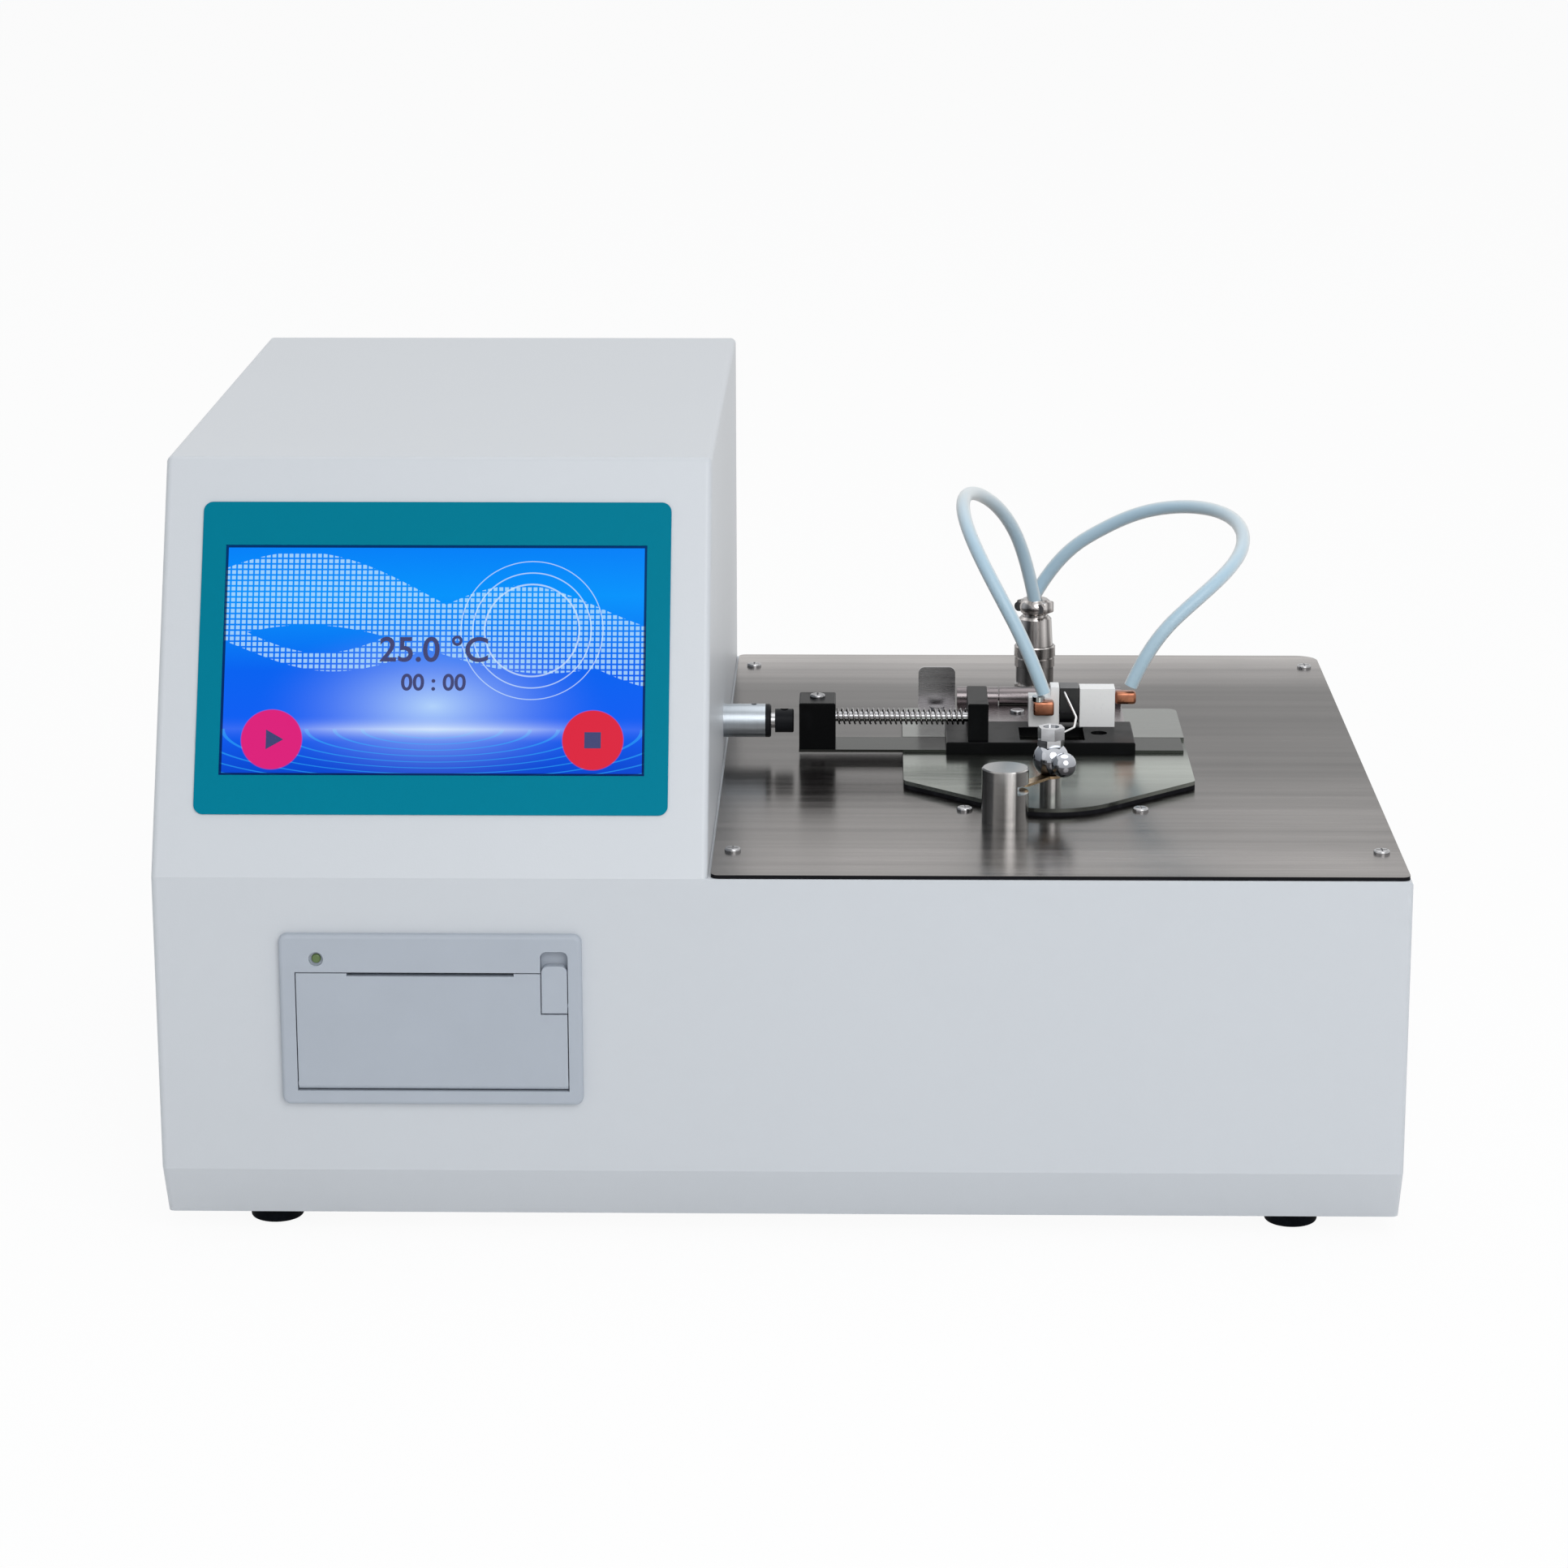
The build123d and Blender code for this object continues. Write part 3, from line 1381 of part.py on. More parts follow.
# ---- Lid hinge: lid leaf, deck leaf and pin ------------------------------
lid_knuckle_start = deck_knuckle_half + knuckle_gap
leaf_top = guide_top + leaf_thickness
with BuildPart() as hinge_lid_leaf:
    with BuildSketch(Plane.XY.offset(guide_top)):
        with Locations((cup_x, (leaf_front + hinge_y) / 2)):
            Rectangle(2 * hinge_half_width, hinge_y - leaf_front)
    extrude(amount=leaf_thickness)
    with BuildSketch(Plane.YZ.offset(cup_x - hinge_half_width)):
        with Locations((hinge_y, hinge_z)):
            Circle(hinge_radius)
    extrude(amount=2 * hinge_half_width)
    with BuildSketch(Plane.XY.offset(guide_top)):
        with Locations((cup_x, hinge_y)):
            Rectangle(2 * lid_knuckle_start, 2 * (hinge_radius + knuckle_gap))
    extrude(amount=3 * hinge_radius, mode=Mode.SUBTRACT)
    with BuildSketch(Plane.YZ.offset(cup_x - hinge_half_width)):
        with Locations((hinge_y, hinge_z)):
            Circle(hinge_pin_radius + running_gap)
    extrude(amount=2 * hinge_half_width, mode=Mode.SUBTRACT)
save(hinge_lid_leaf, "hinge_lid_leaf")

with BuildPart() as hinge_deck_leaf:
    with BuildSketch(Plane.YZ.offset(cup_x - deck_knuckle_half)):
        with Locations((hinge_y, hinge_z)):
            Circle(hinge_radius)
        with Locations((hinge_y + hinge_radius / 2, (deck_top + hinge_z) / 2)):
            Rectangle(hinge_radius, hinge_z - deck_top)
        with Locations((hinge_y + deck_leaf_length / 2, deck_top + leaf_thickness / 2)):
            Rectangle(deck_leaf_length, leaf_thickness)
        with Locations((hinge_y, hinge_z)):
            Circle(hinge_pin_radius + running_gap, mode=Mode.SUBTRACT)
    extrude(amount=2 * deck_knuckle_half)
save(hinge_deck_leaf, "hinge_deck_leaf")

with BuildPart() as hinge_pin:
    with BuildSketch(Plane.YZ.offset(cup_x - hinge_half_width)):
        with Locations((hinge_y, hinge_z)):
            Circle(hinge_pin_radius)
    extrude(amount=2 * hinge_half_width)
save(hinge_pin, "hinge_pin")

# ---- Screws on the lid: leaf, tab, clamping screw and lug screw ----------
with BuildPart() as lid_screws:
    with BuildSketch(Plane.XY.offset(leaf_top)):
        with Locations((cup_x, leaf_screw_y)):
            with GridLocations(2 * leaf_screw_spread, 0, 2, 1):
                Circle(screw_radius)
    extrude(amount=screw_height)
    with BuildSketch(Plane.XY.offset(guide_top + tab_thickness)):
        with Locations((tab_left + tab_width / 2, tab_screw_y)):
            Circle(screw_radius)
    extrude(amount=screw_height)
    fillet(lid_screws.faces().filter_by(Axis.Z).group_by(Axis.Z)[-1].edges(), screw_height / 2)
    with BuildSketch(Plane.XY.offset(base_top - counterbore_depth)):
        with Locations((bore_screw_x, bore_screw_y)):
            Circle(counterbore_radius - piece_gap)
    extrude(amount=counterbore_depth / 2)
    with BuildSketch(Plane.XY.offset(left_lug_z)):
        with Locations((lug_screw_x, left_lug_y)):
            Circle(lug_screw_radius)
    extrude(amount=lug_radius + lug_screw_rise)
save(lid_screws, "lid_screws")

# ---- Latch: post, through bolt, ball handle and bronze tongue ------------
tongue_z = lid_top + latch_post_height + latch_gap
ball_z = lid_top + ball_centre_rise
ball_bottom = tongue_z + tongue_thickness
ball_top_z = lid_top + ball_top
nut_z = ball_top_z + latch_gap
with BuildPart() as latch_post:
    with BuildSketch(Plane.XY.offset(lid_top)):
        with Locations((latch_x, latch_y)):
            Circle(latch_post_radius)
            Circle(bolt_radius + running_gap, mode=Mode.SUBTRACT)
    extrude(amount=latch_post_height)
save(latch_post, "latch_post")

with BuildPart() as latch_bolt:
    with BuildSketch(Plane.XY.offset(lid_top)):
        with Locations((latch_x, latch_y)):
            Circle(bolt_radius)
    extrude(amount=nut_z - lid_top)
    with BuildSketch(Plane.XY.offset(nut_z)):
        with Locations((latch_x, latch_y)):
            RegularPolygon(nut_across_flats / 2, 6, major_radius=False, rotation=nut_turn)
    extrude(amount=nut_height)
    with BuildSketch(Plane.XY.offset(nut_z + nut_height)):
        with Locations((latch_x, latch_y)):
            RegularPolygon(nut_across_flats / 2, 6, major_radius=False, rotation=nut_turn + head_turn)
    extrude(amount=head_rise)
    with BuildSketch(Plane.XY.offset(nut_z + nut_height + head_rise)):
        with Locations((latch_x, latch_y)):
            Circle(head_dish_radius)
    extrude(amount=-head_dish_depth, mode=Mode.SUBTRACT)
save(latch_bolt, "latch_bolt")

with BuildPart() as latch_ball:
    with BuildSketch(Plane.XZ.offset(-latch_y)):
        with Locations((latch_x, ball_z)):
            Circle(ball_radius)
        with Locations((latch_x - ball_radius, ball_z)):
            Rectangle(2 * ball_radius, 4 * ball_radius, mode=Mode.SUBTRACT)
    revolve(axis=Axis((latch_x, latch_y, 0), (0, 0, 1)))
    knob_x = latch_x + knob_reach * cos(radians(knob_angle))
    knob_y = latch_y + knob_reach * sin(radians(knob_angle))
    with Locations((knob_x, knob_y, ball_z)):
        Sphere(knob_radius)
    split(bisect_by=Plane.XY.offset(ball_bottom), keep=Keep.TOP)
    split(bisect_by=Plane.XY.offset(ball_top_z), keep=Keep.BOTTOM)
    with BuildSketch(Plane.XY.offset(ball_bottom)):
        with Locations((latch_x, latch_y)):
            Circle(bolt_radius + running_gap)
    extrude(amount=2 * ball_radius, mode=Mode.SUBTRACT)
save(latch_ball, "latch_ball")

tongue_turn = radians(tongue_angle)
tongue_plane = Plane(
    origin=(latch_x, latch_y, tongue_z),
    x_dir=(cos(tongue_turn), sin(tongue_turn), 0),
    z_dir=(0, 0, 1),
)
with BuildPart() as latch_tongue:
    with BuildSketch(tongue_plane):
        Circle(latch_post_radius)
        with Locations((tongue_length / 2, 0)):
            SlotOverall(tongue_length + tongue_width / 2, tongue_width)
        Circle(bolt_radius + running_gap, mode=Mode.SUBTRACT)
    extrude(amount=tongue_thickness)
save(latch_tongue, "latch_tongue")

# ---- Connector: deck socket, coupling ring, plug with its cable clamp ----
with BuildPart() as connector_socket:
    with BuildSketch(Plane.XY.offset(deck_top)):
        with Locations((connector_x, connector_y)):
            RegularPolygon(socket_nut_across / 2, 6, major_radius=False)
    extrude(amount=socket_nut_height)
    with BuildSketch(Plane.XY.offset(deck_top)):
        with Locations((connector_x, connector_y)):
            Circle(socket_body_radius)
    extrude(amount=socket_body_height)
    with BuildSketch(Plane.XY.offset(deck_top)):
        with Locations((connector_x, connector_y)):
            Circle(socket_core_radius)
    extrude(amount=socket_core_height)
save(connector_socket, "connector_socket")

ring_z = deck_top + ring_low
with BuildPart() as coupling_ring:
    with BuildSketch(Plane.XY.offset(ring_z)):
        with Locations((connector_x, connector_y)):
            Circle(ring_radius_outer)
            Circle(socket_core_radius + running_gap, mode=Mode.SUBTRACT)
    extrude(amount=ring_length)
    with BuildSketch(Plane.XY.offset(ring_z + ring_groove_low)):
        with Locations((connector_x, connector_y)):
            Circle(2 * ring_radius_outer)
            Circle(ring_radius_outer - ring_groove_depth, mode=Mode.SUBTRACT)
    extrude(amount=ring_groove, mode=Mode.SUBTRACT)
    chamfer(coupling_ring.edges().group_by(Axis.Z)[-1].sort_by(SortBy.LENGTH)[-1], ring_edge)
save(coupling_ring, "coupling_ring")

with BuildPart() as connector_plug:
    with BuildSketch(Plane.XY.offset(deck_top + plug_low)):
        with Locations((connector_x, connector_y)):
            Circle(plug_radius)
    extrude(amount=plug_top - plug_low)
    with BuildSketch(Plane.XY.offset(deck_top + plug_top)):
        with Locations((connector_x, connector_y)):
            Circle(clamp_radius)
    extrude(amount=clamp_height)
    with BuildSketch(Plane.XY.offset(deck_top + plug_top + clamp_lug_inset)):
        with Locations((connector_x, connector_y)):
            Rectangle(2 * clamp_lug_reach, 2 * clamp_lug)
    extrude(amount=clamp_height - 2 * clamp_lug_inset)
    with BuildSketch(Plane.XZ.offset(clamp_lug - connector_y)):
        with Locations((connector_x, deck_top + plug_top + clamp_height / 2)):
            with GridLocations(2 * clamp_radius, 0, 2, 1):
                Circle(clamp_screw_radius)
    extrude(amount=clamp_screw_radius / 2)
    add(lead_left.part, mode=Mode.SUBTRACT)
    add(lead_right.part, mode=Mode.SUBTRACT)
save(connector_plug, "connector_plug")

# ---- Mains inlet and its rocker in the back wall -------------------------
inlet_face = back_y + inlet_flange_thickness
socket_x = inlet_x - inlet_width / 2 + socket_width / 2 + inlet_wall
rocker_x = inlet_x + inlet_width / 2 - rocker_width / 2 - inlet_wall
rocker_y = inlet_face - rocker_depth / 2
with BuildPart() as power_inlet:
    with BuildSketch(Plane.XZ.offset(-back_y)):
        with Locations((inlet_x, inlet_z)):
            Rectangle(inlet_width, inlet_height)
    extrude(amount=inlet_depth)
    with BuildSketch(Plane.XZ.offset(-back_y)):
        with Locations((inlet_x, inlet_z)):
            RectangleRounded(
                inlet_width + 2 * inlet_flange,
                inlet_height + 2 * inlet_flange,
                inlet_flange,
            )
    extrude(amount=-inlet_flange_thickness)
    with BuildSketch(Plane.XZ.offset(-inlet_face)):
        with Locations((socket_x, inlet_z)):
            Rectangle(socket_width, socket_height)
        with Locations((rocker_x, inlet_z)):
            Rectangle(rocker_width, rocker_height)
    extrude(amount=socket_depth, mode=Mode.SUBTRACT)
    with BuildSketch(Plane.YZ.offset(rocker_x)):
        with Locations((rocker_y, inlet_z)):
            Circle(rocker_axle + running_gap)
    extrude(amount=rocker_width / 2 + rocker_axle, both=True, mode=Mode.SUBTRACT)
    with BuildSketch(Plane.XZ.offset(socket_depth - inlet_face)):
        with Locations((socket_x, inlet_z)):
            with GridLocations(2 * pin_spread, 0, 2, 1):
                Rectangle(pin_width, pin_height)
        with Locations((socket_x, inlet_z + pin_height)):
            Rectangle(pin_width, pin_height)
    extrude(amount=-socket_pin_length)
save(power_inlet, "power_inlet")

rocker_half = rocker_height / 2 - rocker_side_gap
rocker_turn = radians(rocker_angle)
rocker_plane = Plane(
    origin=(rocker_x - rocker_width / 2 + piece_gap, rocker_y, inlet_z),
    x_dir=(0, cos(rocker_turn), -sin(rocker_turn)),
    z_dir=(1, 0, 0),
)
with BuildPart() as rocker:
    with BuildSketch(rocker_plane):
        with BuildLine():
            Polyline(
                (rocker_depth / 2, -rocker_half),
                (rocker_depth / 4, 0),
                (rocker_depth / 2, rocker_half),
                (-rocker_depth / 2, rocker_half / 2),
                (-rocker_depth / 2, -rocker_half / 2),
                close=True,
            )
        make_face()
    extrude(amount=rocker_width - 2 * piece_gap)
    with BuildSketch(Plane.YZ.offset(rocker_x)):
        with Locations((rocker_y, inlet_z)):
            Circle(rocker_axle)
    extrude(amount=rocker_width / 2 + rocker_axle - piece_gap, both=True)
save(rocker, "rocker")
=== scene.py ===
"""Finishes, display, igniter leads and stage of a closed-cup flash point tester."""

from math import pi, radians

import bmesh
import bpy
from mathutils import Matrix, Vector


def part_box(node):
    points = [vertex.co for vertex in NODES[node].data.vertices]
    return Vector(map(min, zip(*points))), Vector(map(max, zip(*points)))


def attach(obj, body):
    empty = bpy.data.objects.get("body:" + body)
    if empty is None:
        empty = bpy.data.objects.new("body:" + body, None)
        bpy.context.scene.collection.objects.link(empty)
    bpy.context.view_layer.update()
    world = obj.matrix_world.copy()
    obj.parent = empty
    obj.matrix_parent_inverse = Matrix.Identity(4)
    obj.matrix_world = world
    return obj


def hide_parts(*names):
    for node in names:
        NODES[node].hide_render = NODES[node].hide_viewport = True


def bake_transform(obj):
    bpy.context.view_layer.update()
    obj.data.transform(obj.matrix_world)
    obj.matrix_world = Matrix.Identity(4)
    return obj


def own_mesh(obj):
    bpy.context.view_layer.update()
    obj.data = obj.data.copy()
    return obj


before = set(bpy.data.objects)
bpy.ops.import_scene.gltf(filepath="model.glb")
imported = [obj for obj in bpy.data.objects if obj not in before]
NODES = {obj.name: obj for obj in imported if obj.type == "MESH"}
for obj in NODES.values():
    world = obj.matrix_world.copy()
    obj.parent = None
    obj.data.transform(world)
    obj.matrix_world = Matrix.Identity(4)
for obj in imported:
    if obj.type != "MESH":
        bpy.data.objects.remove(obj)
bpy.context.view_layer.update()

bl_info = {
    "name": "Flash Point Tester",
    "version": (1, 0, 0),
    "blender": (4, 5, 0),
    "location": "3D View > Sidebar > Flash Point",
    "description": "Finishes, display, leads and stage of a closed-cup flash point tester",
    "category": "Object",
}

MM = 0.001

# The display lies on the tower's slope: the foot of its middle line, its way up and way out.
SLOPE_ORIGIN = Vector((-0.1255, -0.177, 0.1382))
SLOPE_UP = Vector((0.0, 70.6, 139.3)).normalized()
SLOPE_OUT = Vector((0.0, -139.3, 70.6)).normalized()
# The display's size and the places on it, up the slope and out from its middle line.
WINDOW_WIDTH = 0.1528
WINDOW_HEIGHT = 0.0855
WINDOW_UP = 0.0801
READING_UP = 0.0835
CLOCK_UP = 0.0715
CLOCK_SHARE = 0.66
KEY_UP = 0.0506
KEY_OUT = 0.0577
KEY_MARK = 0.0042
# How thick the figures and marks are and how far they stand off the display.
READING_LIFT = 0.00006
READING_HALF = 0.00002
READING_SPREAD = 0.00018
# The font's size over the height of its figures.
FONT_SHARE = 1.35
MARK_LIFT = 0.00004
MARK_DEPTH = 0.00006

# Places in millimetres. Painted reflection tones along Y are placed between the body's front
# and the same distance behind its middle.
FRONT = -177.0
DECK_TOP = 139.7
# Below this height the deck plate's cut edge is painted near black, a painted shade.
DECK_RIM = 139.6
PILLAR = (82.0, -100.0)
POST = (99.6, -80.4)
# Above this height the pillar and post get one even darker tone, a painted dark reflection on
# their tops.
PILLAR_TOP = 159.9
LUG_SCREW = (98.3, 11.4, 159.4)
# Heights between which the chrome ball's painted reflection goes from dark to light.
BALL_DARK = 154.5
BALL_LIGHT = 162.5
# The middle and the size of each block that is added.
LEVER_POCKET = ((-81.05, -176.0, 106.6), (9.8, 1.0, 10.2))
LEFT_LUG = ((100.35, 11.4, 155.7), (8.1, 5.6, 5.6))
RIGHT_LUG = ((133.0, 18.5, 158.4), (8.4, 5.4, 5.0))
# Painted reflections on the deck and on the lid: their tones at places along Y.
DECK_REFLECTIONS = [(-170, 0.66), (-90, 0.52), (-20, 0.36), (60, 0.30), (110, 0.33), (172, 1.0)]
LID_REFLECTIONS = [(-95, 0.20), (-62, 0.85), (-30, 1.0), (0, 0.26), (60, 0.26)]
# The near-black tone painted on the deck plate's cut edge, a painted shade.
EDGE_SHADE = (0.012, 0.012, 0.014)

UPRIGHT = (0, 0, 1)
TURNED_STEPS = 48
SHARP = radians(35)
# Corners and faces are put in order along this line, so that each run gives the same mesh.
SORT_WAY = Vector((1.0, 1.4142136, 2.2360680))

# Name, place, diameter in metres and power in watts of each lamp, and the point they face.
LAMPS = (
    ("key_light", (0.6, -1.7, 1.3), 1.6, 20.0),
    ("fill_light", (-2.4, -1.6, 1.5), 2.4, 2.0),
    ("top_light", (0.2, 0.6, 2.8), 2.6, 19.0),
)
LAMP_AIM = Vector((0, 0, 0.1))
SKY_TINT = (0.95, 0.98, 1.0)
FLOOR_HALF = 6.0
FLOOR_GLOW = 0.93
FRAME_WIDTH = 36.0
CAMERA_PLACE = (0.03166, -1.67695, 0.56511)
CAMERA_PITCH = 0.25543
CAMERA_YAW = 0.02024
CAMERA_ROLL = -0.002


# ---------------------------------------------------------------- settings


class TesterColours(bpy.types.PropertyGroup):
    """Colours that a user may want to change."""

    housing: bpy.props.FloatVectorProperty(
        name="Housing paint", description="Powder coat of the housing", subtype="COLOR",
        size=3, min=0, max=1, default=(0.590, 0.618, 0.655),
    )
    overlay: bpy.props.FloatVectorProperty(
        name="Overlay", description="Printed film round the display", subtype="COLOR",
        size=3, min=0, max=1, default=(0.001, 0.200, 0.300),
    )
    printer: bpy.props.FloatVectorProperty(
        name="Printer", description="Moulded printer bezel and door", subtype="COLOR",
        size=3, min=0, max=1, default=(0.410, 0.450, 0.510),
    )
    deck: bpy.props.FloatVectorProperty(
        name="Deck", description="Brushed deck plate", subtype="COLOR",
        size=3, min=0, max=1, default=(0.580, 0.552, 0.536),
    )
    lid: bpy.props.FloatVectorProperty(
        name="Lid", description="Satin lid plate", subtype="COLOR",
        size=3, min=0, max=1, default=(0.500, 0.535, 0.490),
    )
    button: bpy.props.FloatVectorProperty(
        name="Buttons", description="Round keys on the display", subtype="COLOR",
        size=3, min=0, max=1, default=(0.740, 0.016, 0.200),
    )


class TesterSizes(bpy.types.PropertyGroup):
    """Sizes of the pieces that are made here."""

    lead: bpy.props.FloatProperty(
        name="Lead diameter", description="Outside of the igniter leads", subtype="DISTANCE",
        unit="LENGTH", default=0.0055, min=0.003, max=0.009,
    )
    wire: bpy.props.FloatProperty(
        name="Spring wire", description="Thickness of the return spring's wire",
        subtype="DISTANCE", unit="LENGTH", default=0.0008, min=0.0003, max=0.001,
    )
    turns: bpy.props.IntProperty(
        name="Spring turns", description="Coils of the return spring", default=25, min=5, max=40,
    )
    digits: bpy.props.FloatProperty(
        name="Reading height", description="Height of the figures on the display",
        subtype="DISTANCE", unit="LENGTH", default=0.0095, min=0.003, max=0.02,
    )


class TesterStage(bpy.types.PropertyGroup):
    """Camera and light."""

    lens: bpy.props.FloatProperty(
        name="Lens", description="Focal length on a 36 mm wide frame", default=100.605,
        min=20, max=300,
    )
    daylight: bpy.props.FloatProperty(
        name="Daylight", description="Strength of the even light all round", default=0.47,
        min=0, max=2,
    )


# --------------------------------------------------------------- materials


class Value:
    """A number socket that takes part in arithmetic; each sign adds its Math node."""

    def __init__(self, finish, socket):
        self.finish = finish
        self.socket = socket

    def math(self, operation, *others):
        return self.finish.maths(operation, self, *others)

    def __add__(self, other):
        return self.math("ADD", other)

    def __radd__(self, other):
        return self.math("ADD", other)

    def __sub__(self, other):
        return self.math("SUBTRACT", other)

    def __rsub__(self, other):
        return self.finish.maths("SUBTRACT", other, self)

    def __mul__(self, other):
        return self.math("MULTIPLY", other)

    def __rmul__(self, other):
        return self.math("MULTIPLY", other)

    def __truediv__(self, other):
        return self.math("DIVIDE", other)

    def __rtruediv__(self, other):
        return self.finish.maths("DIVIDE", other, self)

    def __lt__(self, other):
        return self.math("LESS_THAN", other)

    def __gt__(self, other):
        return self.math("GREATER_THAN", other)

    def __abs__(self):
        return self.math("ABSOLUTE")


class Finish:
    """A node material built up call by call round one Principled shader."""

    def __init__(self, name, **constants):
        self.material = bpy.data.materials.new(name)
        self.material.use_nodes = True
        self.tree = self.material.node_tree
        self.tree.nodes.clear()
        shown = {key.replace("_", " "): value for key, value in constants.items()}
        self.shader = self.node("ShaderNodeBsdfPrincipled", values=shown)
        output = self.node("ShaderNodeOutputMaterial")
        self.tree.links.new(self.shader.outputs[0], output.inputs[0])
        self.place = self.node("ShaderNodeTexCoord").outputs["Object"]

    def node(self, kind, settings=None, values=None):
        """Adds a node, sets it, and then fills or links its sockets."""
        node = self.tree.nodes.new(kind)
        for key, value in (settings or {}).items():
            if key == "stops":
                self.set_stops(node.color_ramp, value)
            else:
                setattr(node, key, value)
        for key, value in (values or {}).items():
            self.feed(node.inputs[key], value)
        return node

    def feed(self, socket, value):
        """Links a socket to another, or writes a plain number or colour on it."""
        if isinstance(value, Value):
            value = value.socket
        if isinstance(value, bpy.types.NodeSocket):
            self.tree.links.new(value, socket)
        elif socket.type == "RGBA" and len(value) == 3:
            socket.default_value = (*value, 1)
        else:
            socket.default_value = value

    def set_stops(self, ramp, stops):
        while len(ramp.elements) < len(stops):
            ramp.elements.new(0.5)
        for element, (position, colour) in zip(ramp.elements, stops):
            element.position = position
            element.color = (*colour, 1)

    def maths(self, operation, *numbers):
        values = dict(enumerate(numbers))
        node = self.node("ShaderNodeMath", {"operation": operation}, values)
        return Value(self, node.outputs[0])

    def mapped(self, scale):
        """Object coordinates, stretched."""
        values = {"Vector": self.place, "Scale": scale}
        return self.node("ShaderNodeMapping", {"vector_type": "POINT"}, values).outputs[0]

    def xyz(self):
        split = self.node("ShaderNodeSeparateXYZ", values={0: self.place})
        return [Value(self, socket) for socket in split.outputs]

    def noise(self, scale, vector=None, detail=2.0, roughness=0.5):
        values = {
            "Vector": vector or self.place,
            "Scale": scale,
            "Detail": detail,
            "Roughness": roughness,
        }
        node = self.node("ShaderNodeTexNoise", values=values)
        return Value(self, node.outputs[0])

    def spread(self, value, low, high, to_low=0.0, to_high=1.0):
        """Stretches a number from low..high to to_low..to_high, and stops there."""
        values = {"Value": value, 1: low, 2: high, 3: to_low, 4: to_high}
        return Value(self, self.node("ShaderNodeMapRange", {"clamp": True}, values).outputs[0])

    def ramp(self, value, stops):
        return self.node("ShaderNodeValToRGB", {"stops": stops}, {0: value}).outputs[0]

    def mix(self, share, first, second, blend="MIX"):
        settings = {"data_type": "RGBA", "blend_type": blend}
        return self.node("ShaderNodeMix", settings, {0: share, 6: first, 7: second}).outputs[2]

    def streaks(self, centre, bands):
        """Painted reflections that run up a turned piece, by the angle round its upright axis.
        """
        across, deep, _ = self.xyz()
        angle = (deep - centre[1] * MM).math("ARCTAN2", across - centre[0] * MM)
        return self.ramp(angle / (2 * pi) + 0.5, [(place, (tone,) * 3) for place, tone in bands])

    def colour(self, value):
        self.feed(self.shader.inputs["Base Color"], value)

    def rough(self, value):
        self.feed(self.shader.inputs["Roughness"], value)

    def bump(self, height, distance, strength=0.6):
        values = {"Height": height, "Distance": distance, "Strength": strength}
        normal = self.node("ShaderNodeBump", values=values).outputs[0]
        self.feed(self.shader.inputs["Normal"], normal)


def tinted(colour, factor):
    return tuple(min(1.0, channel * factor) for channel in colour)


def painted(name, colour):
    """Satin powder coat: even colour, a faint orange peel and a thin clear sheen."""
    finish = Finish(name, Coat_Weight=0.18, Coat_Roughness=0.25)
    clouds = finish.noise(7, detail=3)
    peel = finish.noise(1400, detail=1)
    finish.colour(finish.mix(clouds, tinted(colour, 0.985), tinted(colour, 1.015)))
    finish.rough(0.40 + 0.08 * peel)
    finish.bump(peel, 0.00003)
    return finish.material


def moulded(name, colour, roughness=0.42, grain=2600, depth=0.00002):
    """Moulded plastic with a fine spark-eroded grain."""
    finish = Finish(name)
    clouds = finish.noise(40, detail=3)
    pits = finish.noise(grain, detail=2)
    finish.colour(finish.mix(clouds, tinted(colour, 0.96), tinted(colour, 1.04)))
    finish.rough(roughness - 0.05 + 0.1 * pits)
    finish.bump(pits, depth)
    return finish.material


def brushed(
    name, colour, grain, roughness=0.30, contrast=0.16, broad=0.10, depth=0.00001, fade=None,
    edge=1.0, rim=0.0, stretch=14,
):
    """Brushed metal: fine scratches and broad smears, both drawn out along the grain.

    contrast is that of the scratches and broad that of the smears, which are longer by
    stretch. fade lists painted reflection tones at places along Y, from the front to the
    back; edge is the tone at a grazing view, and below the height called rim the cut edge
    is painted black, a painted shade.
    """
    finish = Finish(name, Metallic=1.0, Specular_Tint=(edge,) * 3)
    scratches = finish.noise(1.0, finish.mapped(grain), detail=4, roughness=0.7)
    smear_grain = tuple(size / stretch for size in grain)
    smears = finish.noise(1.0, finish.mapped(smear_grain), detail=3)
    clouds = finish.noise(9, detail=3)
    lines = finish.spread(scratches, 0.3, 0.7)
    patches = finish.spread(smears * 0.6 + clouds * 0.4, 0.35, 0.65)
    fine = finish.mix(lines, tinted(colour, 1 - contrast), tinted(colour, 1 + contrast))
    low = (1 - broad,) * 3
    high = (1 + broad / 2,) * 3
    body = finish.mix(1.0, fine, finish.mix(patches, low, high), "MULTIPLY")
    # Painted reflections: the tones along Y multiply the colour.
    if fade:
        share = finish.spread(finish.xyz()[1], FRONT * MM, -FRONT * MM)
        stops = [((place - FRONT) / (-2 * FRONT), (tone,) * 3) for place, tone in fade]
        body = finish.mix(1.0, body, finish.ramp(share, stops), "MULTIPLY")
    # Painted shade: below the height rim the cut edge is near black.
    if rim:
        body = finish.mix(finish.xyz()[2] < rim * MM, body, EDGE_SHADE)
    finish.colour(body)
    finish.rough(roughness - 0.07 + 0.10 * lines + 0.06 * patches)
    finish.bump(lines, depth)
    return finish.material


